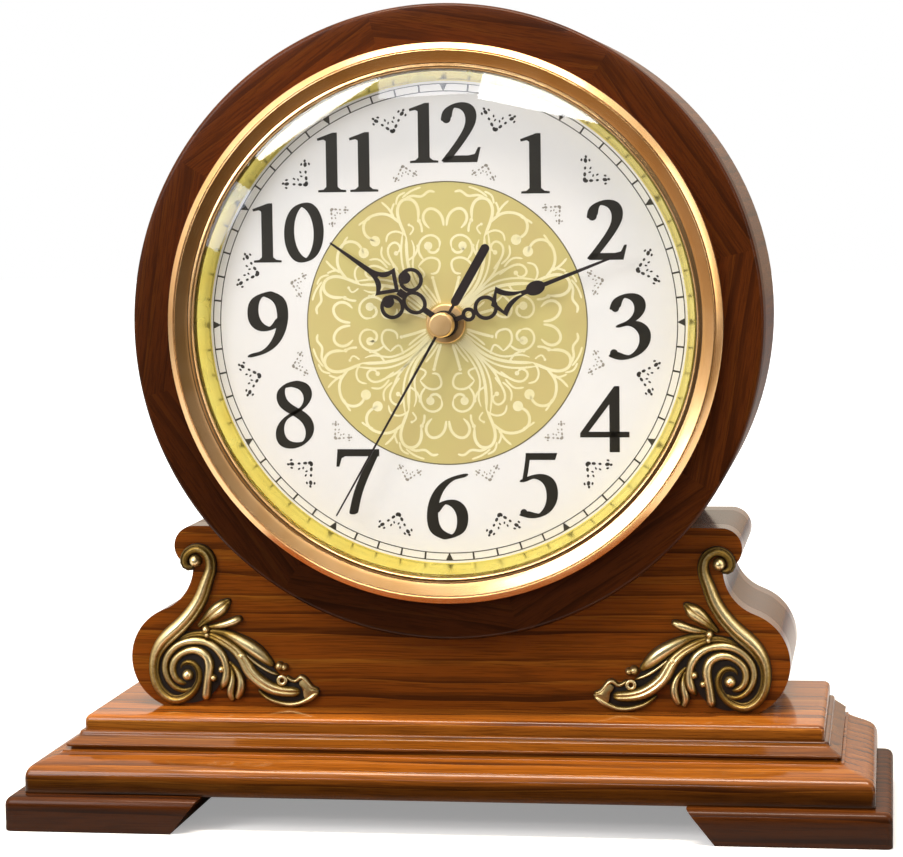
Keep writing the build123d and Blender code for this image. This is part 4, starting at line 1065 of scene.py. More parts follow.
@dataclass
class BezelAndGlass:
    """The turned brass bezel, the domed glass and the polished cone below it."""

    # the turned face from outside in, as (radius, ahead, reach of its easing): an upright wall, a bevel
    # outwards, a fine line, a broad bevel inwards, a groove and a lip
    face_profile: Triples = (
        (94.6, 29.0, 0.0), (94.6, 32.9, 0.4), (92.3, 34.9, 0.25), (92.0, 34.5, 0.12), (91.7, 34.85, 0.25),
        (88.3, 33.2, 0.6), (87.6, 32.75, 0.35), (86.9, 33.0, 0.3), (86.1, 33.0, 0.3), (85.75, 32.2, 0.0),
    )
    # its bore and its spigot, as (radius, ahead)
    spigot_profile: Pairs = ((85.7, 32.2), (85.7, 26.0), (87.8, 26.0), (87.8, 29.0))
    glass_radius: float = 85.5
    glass_rear: float = 30.2
    glass_thickness: float = 2.0
    glass_dome: float = 6.0
    cone_profile: Pairs = ((84.9, 30.2), (82.0, 22.0), (82.5, 22.0), (85.5, 29.8), (85.5, 30.2))

    def build(self, shop: Workshop) -> None:
        """Turns the bezel, the cone between the glass and the dial, and the glass.

        Each side of the glass is a dome: edge height + dome * (1 - (r / R) ** 2).
        """
        bezel = turned_piece("bezel_turned", [*eased(self.face_profile), *self.spigot_profile], 320, 60.0)
        brass = PolishedMetal(
            "polished_brass_bezel", "#e9bf8c", "#e2b47a", "polished_brass", 0.22, 0.27, lacquer=0.2
        )
        shop.fit(bezel, brass, "case", ["bezel"])
        cone = turned_piece("dial_cone_polished", self.cone_profile, 320, 40.0)
        gilt = PolishedMetal("bright_gilt_cone", "#fff07e", "#fbe66e", "polished_brass", 0.24, 0.3)
        shop.fit(cone, gilt, "case", ["dial_cone"])
        radius = self.glass_radius * np.sin(np.linspace(0.0, 1.0, 28) * QUARTER)
        dome = self.glass_dome * (1.0 - (radius / self.glass_radius) ** 2)
        front = np.stack([radius, self.glass_rear + self.glass_thickness + dome], axis=-1)
        rear = np.stack([radius, self.glass_rear + dome], axis=-1)[::-1]
        glass = turned_piece("glass_lens_domed", np.concatenate([front, rear]), 192, 50.0, closed=False)
        shop.fit(glass, ClearGlass(), "case", ["glass_lens"])


class Ink(Enum):
    """The printed layers of the dial, by height over its face, from the lowest up."""

    GOLD = 0.02
    SCROLLS = 0.04
    FAINT = 0.05
    BLACK = 0.06


class Print(Shell):
    """A flat print on the dial."""

    stroke_rise = 0.00004
    strokes_before_repeat = 500

    def ahead(self, ink: Ink) -> float:
        """Gives the distance ahead of a layer's face, a hair more for each stroke of the print."""
        return DialFace.face + ink.value + self.stroke_rise * (len(self.points) % self.strokes_before_repeat)

    def strip(self, first: np.ndarray, second: np.ndarray, ink: Ink) -> None:
        """Fills the strip between two lines."""
        edges = np.stack([first, second], axis=1)
        self.add_grid(dial_point(edges[..., 0], edges[..., 1], self.ahead(ink)))

    def ribbon(self, line: np.ndarray, half_width: np.ndarray, ink: Ink) -> None:
        """Draws a line: its points plus and minus its half width across it."""
        side = across(line) * np.reshape(half_width, (-1, 1))
        self.strip(line[:, :2] + side, line[:, :2] - side, ink)

    def blot(self, centre: Sequence[float], radius: float, ink: Ink, sides: int = 16) -> None:
        """Draws a filled circle."""
        angle = angles(sides)
        self.polygon(centre + radius * np.concatenate([np.cos(angle), np.sin(angle)], axis=1), ink)

    def dash(self, middle: np.ndarray, reach: np.ndarray, half_width: float, ink: Ink) -> None:
        """Draws a short dash as an ellipse: middle + cos(a) * reach + sin(a) * half width across."""
        angle = angles(10)
        aside = half_width * np.array([-reach[1], reach[0]]) / np.linalg.norm(reach)
        self.polygon(middle + np.cos(angle) * reach + np.sin(angle) * aside, ink)

    def polygon(self, corners: np.ndarray, ink: Ink) -> None:
        """Draws a filled outline."""
        corners = np.asarray(corners, float)
        self.add(dial_point(corners[:, 0], corners[:, 1], self.ahead(ink)), [list(range(len(corners)))])

    def ring(self, outer: float, inner: float, ink: Ink, segments: int = 192) -> None:
        """Draws a flat ring."""
        self.add_grid(turned_grid(np.array([outer, inner]), self.ahead(ink), segments), wrap_rows=True)


@dataclass(frozen=True)
class Nib:
    """A broad pen: an ellipse held at a slant, that gives a stroke its swell.

    The stroke's edge lies at p + E(n) and p - E(n) for the direction n across the stroke, where
    E(n) = (a a (n.u) u + b b (n.w) w) / sqrt((a n.u) ** 2 + (b n.w) ** 2).
    """

    broad: float = 0.09
    narrow: float = 0.028
    slant_degrees: float = 16.0

    def axes(self) -> tuple[np.ndarray, np.ndarray]:
        """Gives the directions u and w of the pen's two axes."""
        slant = np.radians(self.slant_degrees)
        u = np.array([np.cos(slant), np.sin(slant)])
        return u, np.array([-u[1], u[0]])

    def edges(self, line: np.ndarray) -> tuple[np.ndarray, np.ndarray]:
        """Gives the two edges of a stroke along a line, in shares of the numeral's height."""
        u, w = self.axes()
        normal = across(line)
        along_u, along_w = normal @ u, normal @ w
        reach = np.sqrt((self.broad * along_u) ** 2 + (self.narrow * along_w) ** 2)
        broad, narrow = self.broad**2 * along_u / reach, self.narrow**2 * along_w / reach
        offset = broad[:, None] * u + narrow[:, None] * w
        return line[:, :2] + offset, line[:, :2] - offset

    def outline(self, centre: np.ndarray, sides: int = 20) -> np.ndarray:
        """Gives the pen's own outline at a point."""
        angle = angles(sides)
        u, w = self.axes()
        return centre + self.broad * np.cos(angle) * u + self.narrow * np.sin(angle) * w


PEN = Nib()
BOLD_PEN = Nib(0.1, 0.032, 20.0)
FINE_PEN = Nib(0.034, 0.03, 0.0)
STRAIGHT_PEN = Nib(0.072, 0.035, 10.0)
ROUND_PEN = Nib(0.078, 0.026, 34.0)


@dataclass(frozen=True)
class Stroke:
    """A stroke of a pen, as a smooth line through points, that can close on itself."""

    pen: Nib
    points: Pairs
    closed: bool = False

    def line(self) -> np.ndarray:
        """Gives the line that the pen follows."""
        if self.closed:
            return smooth_line([*self.points, self.points[0]], 110)
        return smooth_line(self.points, 60)


@dataclass(frozen=True)
class Oval(Stroke):
    """A closed stroke round an oval, whose points are its middle and its half width and height."""

    def line(self) -> np.ndarray:
        """Gives the line that the pen follows."""
        middle, reach = np.array(self.points)
        angle = np.linspace(0.0, FULL_TURN, 73)
        return middle + reach * np.stack([np.cos(angle), np.sin(angle)], axis=-1)


@dataclass(frozen=True)
class Digit:
    """A digit in shares of its height: its strokes, filled outlines and round ends (x, y, radius)."""

    width: float
    strokes: tuple[Stroke, ...] = ()
    fills: tuple[Pairs, ...] = ()
    drops: Triples = ()
    half_turned: bool = False


DIGITS: dict[str, Digit] = {
    "0": Digit(0.667, (Oval(PEN, ((0.333, 0.5), (0.255, 0.47)), True),)),
    "1": Digit(
        0.5,
        fills=(
            (
                (0.01, 0.0), (0.49, 0.0), (0.49, 0.035), (0.4, 0.045), (0.345, 0.09), (0.345, 1.0),
                (0.27, 1.0), (0.0, 0.905), (0.01, 0.865), (0.11, 0.885), (0.15, 0.86), (0.15, 0.09),
                (0.1, 0.045), (0.01, 0.035),
            ),
        ),
    ),
    "2": Digit(
        0.66,
        (
            Stroke(
                BOLD_PEN,
                ((0.085, 0.74), (0.13, 0.89), (0.3, 0.955), (0.46, 0.88), (0.5, 0.71), (0.4, 0.47),
                    (0.09, 0.06)),
            ),
        ),
        (((0.02, 0.0), (0.6, 0.0), (0.66, 0.25), (0.615, 0.25), (0.56, 0.14), (0.46, 0.115), (0.08, 0.115)),),
        ((0.085, 0.73, 0.075),),
    ),
    "3": Digit(
        0.627,
        (
            Stroke(
                PEN,
                ((0.1, 0.79), (0.15, 0.91), (0.29, 0.965), (0.44, 0.9), (0.47, 0.76), (0.36, 0.6), (0.19, 0.52)),
            ),
            Stroke(
                PEN,
                ((0.19, 0.52), (0.37, 0.545), (0.52, 0.44), (0.54, 0.27), (0.41, 0.09), (0.22, 0.035),
                    (0.08, 0.08)),
            ),
        ),
        drops=((0.1, 0.78, 0.06), (0.075, 0.1, 0.06)),
    ),
    "4": Digit(
        0.747,
        fills=(
            ((0.6, 1.0), (0.52, 1.0), (0.0, 0.29), (0.0, 0.225), (0.065, 0.225), (0.6, 0.93)),
            ((0.0, 0.225), (0.747, 0.225), (0.747, 0.31), (0.03, 0.31)),
            ((0.445, 0.0), (0.6, 0.0), (0.6, 1.0), (0.52, 1.0), (0.445, 0.88)),
        ),
    ),
    "5": Digit(
        0.6,
        (
            Stroke(FINE_PEN, ((0.135, 0.96), (0.115, 0.8), (0.08, 0.6))),
            Stroke(
                PEN,
                ((0.09, 0.59), (0.27, 0.645), (0.44, 0.57), (0.5, 0.4), (0.46, 0.19), (0.31, 0.05),
                    (0.08, 0.075)),
            ),
        ),
        (((0.1, 0.895), (0.55, 0.895), (0.585, 1.0), (0.1, 1.0)),),
        ((0.065, 0.09, 0.055),),
    ),
    "6": Digit(
        0.636,
        (
            Stroke(
                PEN,
                ((0.56, 0.975), (0.4, 0.93), (0.23, 0.8), (0.115, 0.58), (0.085, 0.36), (0.15, 0.13),
                    (0.32, 0.035)),
            ),
            Stroke(
                PEN, ((0.32, 0.035), (0.48, 0.1), (0.55, 0.3), (0.49, 0.5), (0.35, 0.575), (0.21, 0.53),
                    (0.12, 0.42))
            ),
        ),
    ),
    "7": Digit(
        0.67,
        (Stroke(STRAIGHT_PEN, ((0.6, 0.94), (0.45, 0.62), (0.33, 0.32), (0.26, 0.03))),),
        (((0.0, 0.73), (0.045, 0.73), (0.085, 0.86), (0.14, 0.89), (0.67, 0.89), (0.67, 1.0), (0.02, 1.0)),),
    ),
    "8": Digit(
        0.62,
        (
            Stroke(
                ROUND_PEN,
                (
                    (0.31, 0.975), (0.12, 0.9), (0.115, 0.72), (0.31, 0.55), (0.5, 0.4), (0.54, 0.22),
                    (0.46, 0.08), (0.3, 0.025), (0.13, 0.08), (0.075, 0.22), (0.13, 0.4), (0.31, 0.53),
                    (0.47, 0.65), (0.52, 0.79), (0.46, 0.92),
                ),
                True,
            ),
        ),
    ),
}
DIGITS["9"] = replace(DIGITS["6"], half_turned=True)


@dataclass
class DialFace:
    """The printed dial: numerals, minute track, small dotted ornaments and a gold medallion of scrolls."""

    face: float = 21.9
    radius: float = 87.8
    hole_radius: float = 4.05
    thickness: float = 0.4
    medallion_radius: float = 48.1
    medallion_hole: float = 4.2
    medallion_line: float = 0.2
    track_outer: float = 81.1
    track_inner: float = 78.6
    line_width: float = 0.32
    tick_width: float = 0.6
    hour_mark_half: float = 1.3
    hour_mark_tip: float = 0.1
    # each number with its middle and its height
    numbers: tuple[tuple[str, float, float, float], ...] = (
        ("12", 0.3, 64.6, 20.2), ("1", 31.0, 53.8, 20.2), ("2", 55.1, 31.2, 20.2), ("3", 62.4, -1.4, 22.4),
        ("4", 53.7, -32.7, 22.4), ("5", 31.1, -55.4, 22.4), ("6", -0.5, -62.7, 22.4),
        ("7", -31.4, -54.1, 22.4), ("8", -53.2, -31.0, 22.4), ("9", -62.0, 0.2, 22.4),
        ("10", -54.4, 31.4, 20.2), ("11", -33.2, 55.1, 20.2),
    )
    digit_gap: float = 0.05
    # each dash of a small ornament: its middle as (distance back from its point, distance aside), its
    # half length and half width, and its slant from the line back
    fleur_dashes: tuple[tuple[float, float, float, float, float], ...] = (
        (0.1, 0.3, 0.8, 0.62, 40.0), (1.4, 1.5, 0.75, 0.5, 40.0), (3.0, 2.9, 0.55, 0.42, 40.0),
        (4.9, 4.6, 0.85, 0.6, 55.0), (5.9, 5.4, 0.5, 0.42, 60.0), (4.1, 5.7, 0.5, 0.36, 30.0),
        (5.9, 3.7, 0.5, 0.36, 60.0), (3.1, 0.8, 0.5, 0.3, -25.0), (4.3, 1.6, 0.5, 0.32, 10.0),
    )
    # the outer and the inner ornaments: how far out their points lie, which way they look, and their size
    fleur_rings: Triples = ((67.6, -1.0, 1.0), (55.3, 1.0, 0.7))

    def build(self, shop: Workshop) -> None:
        """Builds the disc and its prints."""
        front, rear = self.face, self.face - self.thickness
        hole, edge = self.hole_radius, self.radius
        profile = [(hole, front), (edge, front), (edge, rear), (hole, rear)]
        disc = turned_piece("dial_sheet", profile, 192, 35.0)
        paper = PlainCoat("dial_white_print_card", "#ebeae9", "#e8e6e4", cloud_size=40.0, skin_depth=0.004)
        shop.fit(disc, paper, "case", ["dial"])
        self.medallion(shop)
        self.numerals(shop)
        self.track(shop)
        self.fleurs(shop)

    def lay(self, shop: Workshop, sheet: Print, name: str, ink: PlainCoat) -> None:
        """Turns the faces of a print to the front and lays it on the dial."""
        piece = sheet.build(name)
        with opened(piece) as shape:
            shape.normal_update()
            turned = [face for face in shape.faces if face.normal.y > 0.0]
            bmesh.ops.reverse_faces(shape, faces=turned)
        shop.fit(piece, ink, "case")

    def medallion(self, shop: Workshop) -> None:
        """Draws the gold disc, its dark outline and its scrolls."""
        disc, rim, scrolls = Print(), Print(), Print()
        radius, half = self.medallion_radius, self.medallion_line
        disc.ring(radius, self.medallion_hole, Ink.GOLD)
        rim.ring(radius + half, radius - half, Ink.BLACK)
        MedallionScrolls().draw(scrolls)
        gold = PlainCoat(
            "gold_dial_ink", "#cbbe79", "#c9b878", roughness=0.38, cloud_size=26.0, skin_depth=0.004
        )
        self.lay(shop, disc, "dial_medallion", gold)
        brown = PlainCoat("medallion_outline_ink", "#6b6345", "#746c4c")
        self.lay(shop, rim, "dial_medallion_outline", brown)
        self.lay(shop, scrolls, "dial_medallion_scrolls", PlainCoat("cream_scroll_ink", "#efe7bb", "#e9dfac"))

    def numerals(self, shop: Workshop) -> None:
        """Draws the twelve numbers upright."""
        sheet = Print()
        for number, right, up, height in self.numbers:
            widths = [DIGITS[name].width for name in number]
            start = -(sum(widths) + self.digit_gap * (len(number) - 1)) / 2
            for name, width in zip(number, widths):
                self.digit(sheet, DIGITS[name], right + start * height, up - height / 2, height)
                start += width + self.digit_gap
        black = PlainCoat("black_dial_ink", "#23211b", "#26241e", roughness=0.35)
        self.lay(shop, sheet, "dial_numerals", black)

    def digit(self, sheet: Print, digit: Digit, left: float, base: float, height: float) -> None:
        """Draws one digit: strokes of the pen, filled outlines and round ends.

        Args:
            sheet: The print.
            digit: The digit.
            left: The place of its left edge.
            base: The height of its foot.
            height: Its height.
        """

        def place(points: Sequence) -> np.ndarray:
            """Moves shares of the height to the dial."""
            points = np.asarray(points, float)
            if digit.half_turned:
                points = np.array([digit.width, 1.0]) - points
            return points * height + np.array([left, base])

        for stroke in digit.strokes:
            line = stroke.line()
            first, second = stroke.pen.edges(line)
            if stroke.closed:
                first[-1], second[-1] = first[0], second[0]
            sheet.strip(place(first), place(second), Ink.BLACK)
            for end in () if stroke.closed else (line[0], line[-1]):
                sheet.polygon(place(stroke.pen.outline(end)), Ink.BLACK)
        for corners in digit.fills:
            sheet.polygon(place(corners), Ink.BLACK)
        for *middle, radius in digit.drops:
            sheet.blot(place(middle), radius * height, Ink.BLACK, 24)

    def track(self, shop: Workshop) -> None:
        """Draws two thin circles with sixty ticks between them and a triangle at each hour."""
        sheet = Print()
        outer, inner, half_line = self.track_outer, self.track_inner, self.line_width / 2
        for radius in (outer, inner):
            sheet.ring(radius + half_line, radius - half_line, Ink.BLACK, 240)
        for minute in range(60):
            out, side = self.directions(minute * FULL_TURN / 60)
            tick = self.tick_width / 2
            half, foot = (tick, tick) if minute % 5 else (self.hour_mark_half, self.hour_mark_tip)
            corners = [out * outer + side * half, out * outer - side * half]
            sheet.polygon([*corners, out * inner - side * foot, out * inner + side * foot], Ink.BLACK)
        self.lay(shop, sheet, "dial_minute_track", PlainCoat("track_ink", "#34312c", "#3c3933"))

    def directions(self, angle: float) -> tuple[np.ndarray, np.ndarray]:
        """Gives the directions out and aside at an angle clockwise from the top."""
        out = np.array([np.sin(angle), np.cos(angle)])
        return out, np.array([out[1], -out[0]])

    def fleurs(self, shop: Workshop) -> None:
        """Draws the dotted ornaments: twelve below the track and twelve round the medallion."""
        sheets = [Print(), Print()]
        for hour in range(12):
            out, side = self.directions((hour + 0.5) * FULL_TURN / 12)
            for sheet, (tip, toward, share) in zip(sheets, self.fleur_rings):
                for back, aside, long, wide, slant in self.fleur_dashes:
                    lean = np.radians(slant)
                    for hand in (-1.0, 1.0):
                        middle = out * (tip - toward * back * share) + hand * side * aside * share
                        along = -toward * np.cos(lean) * out + hand * np.sin(lean) * side
                        sheet.dash(middle, along * long * share, wide * share, Ink.FAINT)
        grey = PlainCoat("ornament_ink", "#2e2b28", "#383430", roughness=0.45)
        pale = PlainCoat("ornament_ink_pale", "#938c82", "#a19a8f", roughness=0.45)
        self.lay(shop, sheets[0], "dial_ornaments_outer", grey)
        self.lay(shop, sheets[1], "dial_ornaments_inner", pale)


@dataclass
class MedallionScrolls:
    """A traditional pattern of leafy scrolls, four times round and each time mirrored.

    Each stroke is a smooth line through points given as (distance out along the nearest upright or level
    line, distance aside), in the eighth between that line and the diagonal, with a width and, where it
    ends in a ball, the ball's radius.
    """

    strokes: tuple[tuple[float, float, Pairs], ...] = (
        (1.1, 0.6, ((7.0, 2.0), (11.0, 3.3), (15.6, 4.5))),
        (0.8, 0.0, ((7.0, 2.8), (10.6, 5.2), (13.2, 7.4))),
        (0.9, 0.0, ((17.0, 5.2), (17.2, 3.4), (19.0, 2.2), (21.3, 2.3), (22.4, 4.6), (21.6, 7.4),
            (19.4, 9.4))),
        (0.9, 0.0, ((21.6, 7.4), (24.0, 9.0), (27.2, 8.9), (29.6, 6.8), (29.8, 3.8), (28.0, 2.0),
            (25.6, 2.2))),
        (1.0, 1.45, ((25.6, 2.2), (24.2, 3.6), (24.6, 5.6), (26.4, 5.9))),
        (1.1, 0.0, ((33.2, 0.5), (36.0, 1.0), (38.4, 2.9), (38.9, 5.6), (36.9, 7.4), (34.2, 7.0),
            (32.4, 5.4))),
        (0.9, 0.7, ((31.0, 8.0), (33.2, 8.2), (35.0, 9.0))),
        (1.2, 0.0, ((35.6, 9.2), (39.2, 9.3), (42.0, 11.2), (42.0, 14.4), (39.2, 16.2), (34.6, 15.6),
            (29.4, 13.4))),
        (1.0, 0.0, ((44.6, 3.4), (44.9, 5.4), (43.3, 7.8), (43.4, 11.0), (42.2, 14.0))),
        (0.8, 0.0, ((46.3, 8.2), (45.0, 11.6), (42.8, 14.6))),
        (0.8, 0.0, ((44.6, 13.6), (43.2, 16.0), (40.4, 16.8))),
        (1.2, 0.0, ((6.2, 4.2), (12.6, 10.2), (19.6, 12.8), (29.5, 13.4))),
        (0.8, 0.0, ((6.5, 3.6), (13.6, 9.0), (20.4, 11.3), (26.0, 10.8), (28.4, 11.6))),
        (0.8, 0.0, ((5.8, 4.8), (12.0, 11.2), (18.6, 14.5), (25.5, 15.2), (31.0, 14.6))),
        (0.9, 0.0, ((5.3, 5.3), (12.0, 12.0), (18.4, 17.3), (22.6, 19.0))),
        (0.9, 0.8, ((18.4, 16.4), (22.4, 19.2), (26.4, 19.4), (27.6, 17.0), (25.4, 15.6), (24.0, 17.0))),
        (0.8, 0.0, ((20.0, 19.0), (23.4, 22.0), (26.4, 21.8))),
        (0.8, 0.6, ((21.4, 13.2), (23.6, 10.4), (26.4, 9.4))),
        (1.1, 1.8, ((34.0, 15.4), (37.0, 19.4), (37.0, 24.4), (34.4, 27.8), (30.6, 27.6), (28.2, 24.2))),
        (0.9, 0.0, ((36.4, 17.6), (39.4, 19.6), (41.4, 21.8))),
        (0.8, 0.0, ((41.0, 17.4), (39.0, 18.2), (36.8, 18.4))),
        (0.8, 0.0, ((33.6, 29.8), (34.9, 28.0), (35.8, 25.8))),
        (0.8, 0.0, ((30.0, 13.6), (31.4, 16.8), (30.4, 19.6), (27.8, 20.4))),
        (0.7, 0.5, ((30.2, 12.2), (32.6, 11.0), (33.6, 12.4))),
        (0.8, 0.0, ((15.0, 10.4), (16.4, 7.4), (19.4, 9.4))),
    )
    points_per_line: int = 30
    pen_share: float = 0.9

    def draw(self, sheet: Print) -> None:
        """Draws every stroke eight times: in four quarters, and mirrored in each."""
        swell = np.clip(2.2 * np.sin(np.linspace(0.08, 0.94, self.points_per_line) * np.pi), 0.35, 1.0)
        for width, ball, points in self.strokes:
            out, aside = smooth_line(points, self.points_per_line).T
            for turn in np.arange(4) * QUARTER:
                for hand in (-1.0, 1.0):
                    right = out * np.cos(turn) - hand * aside * np.sin(turn)
                    up = out * np.sin(turn) + hand * aside * np.cos(turn)
                    placed = np.stack([right, up], axis=-1)
                    sheet.ribbon(placed, self.pen_share * width / 2 * swell, Ink.SCROLLS)
                    if ball:
                        sheet.blot(placed[-1], ball, Ink.SCROLLS)


# Hands and movement


class HandsAndMovement:
    """The pierced hands, their cap and nut, and the quartz movement behind the dial."""

    def build(self, shop: Workshop) -> None:
        """Dresses each node of the hands and of the movement."""
        enamel = PlainCoat(
            "black_enamelled_steel", "#211a1c", "#282022", "black_enamel", 0.32, skin_depth=0.01
        )
        shop.dress(enamel, "hour_hand", "minute_hand", "second_hand")
        brass = PolishedMetal("brass_cap_brushed", "#f0cd98", "#e8c18a", "polished_brass", 0.38, 0.5, 6.0)
        shop.refine("second_cap", brass, "second_set", sharp_degrees=40.0)
        shop.refine("centre_nut", brass, "case", sharp_degrees=40.0)
        black = PlainCoat(
            "black_moulded_plastic", "#1b1b1c", "#202021", "black_plastic", 0.42, 20.0, 0.5, 0.03
        )
        shop.dress(black, "movement_case_front", "movement_case_back", "setting_knob")
        white = PlainCoat("acetal_moulded_white", "#e9e6dc", "#e2dfd4", "white_plastic", 0.35, 8.0, 0.6, 0.02)
        shop.dress(white, "train_plate", "coil_bobbin", "intermediate_wheel", "second_wheel", "third_wheel")
        shop.dress(white, "centre_wheel", "minute_arbor", "motion_wheel", "hour_wheel")
        steel = PolishedMetal("nickelled_contacts", "#cfcac0", "#b8b2a6", "steel", 0.22, 0.34)
        shop.dress(steel, "battery_contact_left", "battery_contact_right")
        iron = PolishedMetal("rolled_motor_iron", "#8f8d8a", "#7b7976", "motor_iron", 0.35, 0.5)
        shop.dress(iron, "motor_stator", "coil_core")
        copper = PolishedMetal("enamelled_copper_wire", "#b5622d", "#9a4e22", "copper_wire", 0.3, 0.42, 3.0)
        shop.dress(copper, "coil_winding")
        magnet = PlainCoat(
            "sintered_magnet", "#4b4a4c", "#545356", "magnet", 0.5, skin_depth=0.02, metallic=0.6
        )
        shop.dress(magnet, "rotor")
        green = PlainCoat(
            "green_circuit_laminate", "#1f4a2b", "#255733", "circuit_laminate", 0.38, skin_depth=0.02
        )
        shop.dress(green, "circuit_board")
        shop.dress(SleevedCell(), "battery")


# Scroll appliques


@dataclass
class Band:
    """One raised band of an applique: a line of (right, up, width), its height and its crease.

    The crease lies at a share across the band, from -1 at its inner side to 1.
    """

    line: Triples
    height: float
    crease: float = 0.0
    crease_place: float = 0.0
    fullness: float = 1.3


@dataclass
class ScrollApplique:
    """The cast scroll ornaments of the waist: an S with a volute, ribs, leaves and beads."""

    seat: float = 12.0
    relief: float = 4.2
    sink: float = 0.3
    along_steps: int = 90
    across_steps: int = 19
    cap_share: float = 0.06
    crease_width: float = 0.2
    crease_depth: float = 0.6
    bands: tuple[Band, ...] = (
        # the S and its curl inwards
        Band(
            (
                (91.7, 87.6, 2.6), (92.9, 85.6, 2.5), (94.9, 86.0, 2.7), (95.6, 88.6, 3.0),
                (94.0, 91.2, 3.1), (90.6, 92.4, 3.3), (87.1, 90.4, 3.6), (86.0, 86.0, 3.8),
                (87.5, 81.0, 4.3), (89.5, 75.6, 4.7), (92.6, 70.4, 5.0), (97.4, 65.0, 5.3),
                (102.9, 60.0, 5.2), (106.3, 54.8, 4.2), (107.2, 50.0, 3.7), (106.6, 45.2, 3.6),
                (104.2, 41.0, 3.6), (99.8, 38.7, 3.5), (95.3, 40.1, 3.2), (91.9, 43.7, 2.8),
                (90.9, 47.4, 2.5), (92.0, 50.8, 2.4), (94.7, 52.2, 2.2), (97.1, 50.9, 2.0),
                (97.6, 48.6, 1.6),
            ),
            4.1, 0.55, -0.42, 1.06,
        ),
        # inner rib, a thick trunk
        Band(
            (
                (95.1, 44.4, 1.4), (98.6, 45.5, 1.9), (100.4, 48.7, 2.1), (99.8, 52.4, 2.2),
                (96.7, 55.4, 2.2), (92.0, 56.5, 2.5), (88.0, 54.2, 2.7), (87.1, 50.4, 2.7),
                (87.7, 46.4, 2.5), (88.3, 42.4, 2.5), (88.8, 38.4, 2.6),
            ),
            3.6,
        ),
        # outer rib
        Band(
            (
                (92.8, 43.6, 1.2), (96.4, 42.0, 1.5), (100.3, 43.6, 1.8), (102.8, 47.6, 2.0),
                (103.1, 51.6, 2.1), (100.9, 56.0, 2.2), (97.4, 58.7, 2.3), (91.8, 59.8, 2.4),
                (87.1, 58.8, 2.3), (83.2, 55.8, 2.6), (81.5, 52.2, 2.4), (81.1, 48.4, 2.4),
                (81.9, 45.0, 2.4), (83.6, 42.2, 1.4),
            ),
            3.2,
        ),
        # stem
        Band(
            (
                (98.3, 59.8, 1.2), (95.1, 61.4, 1.6), (91.0, 62.2, 1.9), (86.6, 61.6, 2.2),
                (82.5, 59.8, 2.7), (78.4, 57.2, 3.0), (75.1, 53.6, 3.4), (72.6, 49.2, 3.7),
                (68.7, 45.4, 3.7), (64.2, 43.0, 3.5), (59.0, 42.1, 3.1), (54.4, 42.1, 2.8),
            ),
            3.8, 0.3,
        ),
        # long leaf
        Band(
            (
                (87.7, 63.1, 1.2), (83.3, 62.9, 1.8), (78.8, 61.4, 2.8), (74.1, 58.9, 3.7),
                (69.7, 55.9, 3.8), (66.5, 53.0, 2.8), (64.0, 50.9, 1.4),
            ),
            3.4, -0.22,
        ),
        # upper leaf
        Band(
            (
                (91.2, 64.6, 1.0), (88.1, 67.2, 2.6), (84.8, 70.0, 4.0), (82.1, 72.0, 3.8),
                (80.3, 73.6, 2.2), (79.2, 74.4, 1.0),
            ),
            3.4, 0.4,
        ),
        # second leaf
        Band(((87.5, 64.5, 1.0), (83.3, 65.2, 2.0), (79.6, 66.2, 2.4), (76.8, 67.3, 2.2),
            (75.1, 68.0, 1.4)), 2.9),
        # inner drop
        Band(((80.3, 52.6, 0.9), (77.6, 49.6, 1.7), (76.0, 46.0, 2.2), (76.2, 42.2, 2.3),
            (77.8, 39.0, 1.6)), 2.9),
        # outer drop
        Band(((79.8, 51.0, 0.8), (79.0, 47.6, 1.6), (79.4, 44.0, 2.1), (79.8, 41.0, 2.1),
            (78.7, 38.4, 1.4)), 2.6),
        # crescent's rim
        Band(
            (
                (70.0, 42.6, 0.8), (67.3, 40.2, 1.3), (62.7, 38.2, 1.5), (57.6, 37.6, 1.6),
                (53.1, 38.9, 1.7), (49.8, 41.0, 1.8), (48.1, 42.6, 1.0),
            ),
            2.6,
        ),
        # notched top
        Band(
            (
                (48.2, 42.9, 0.9), (50.7, 43.7, 1.3), (52.4, 45.6, 1.4), (54.5, 47.2, 1.4),
                (56.4, 45.9, 1.2), (58.2, 46.3, 1.2), (59.9, 47.6, 1.0),
            ),
            2.3,
        ),
        # vein between the leaf and the stem
        Band(((81.3, 60.9, 0.6), (75.7, 56.4, 1.0), (70.4, 52.0, 1.1), (65.4, 49.0, 1.1),
            (62.3, 47.8, 0.8)), 2.0),
    )
    # each bead as (right, up, radius, height)
    beads: tuple[tuple[float, float, float, float], ...] = (
        (91.5, 88.0, 2.3, 3.7), (95.0, 47.6, 2.1, 4.0), (88.1, 63.9, 1.5, 3.7), (87.7, 61.9, 1.2, 3.3),
        (62.1, 51.1, 1.6, 3.1), (60.3, 50.7, 1.3, 2.9), (82.8, 49.7, 1.4, 3.2), (85.8, 46.6, 1.4, 3.0),
        (75.4, 54.6, 1.7, 3.4),
    )
    # the eyelet as (right, up, radius, radius of its ring, height of its ring)
    eyelet: tuple[float, float, float, float, float] = (61.1, 46.2, 1.35, 0.55, 2.2)
    # how much of the outline each ring of a sheet keeps, and how far its middle rises
    web_shares: tuple[float, ...] = (1.0, 1.0, 0.5, 0.02)
    web_dish: float = 0.3
    eyelet_relief: float = 3.0
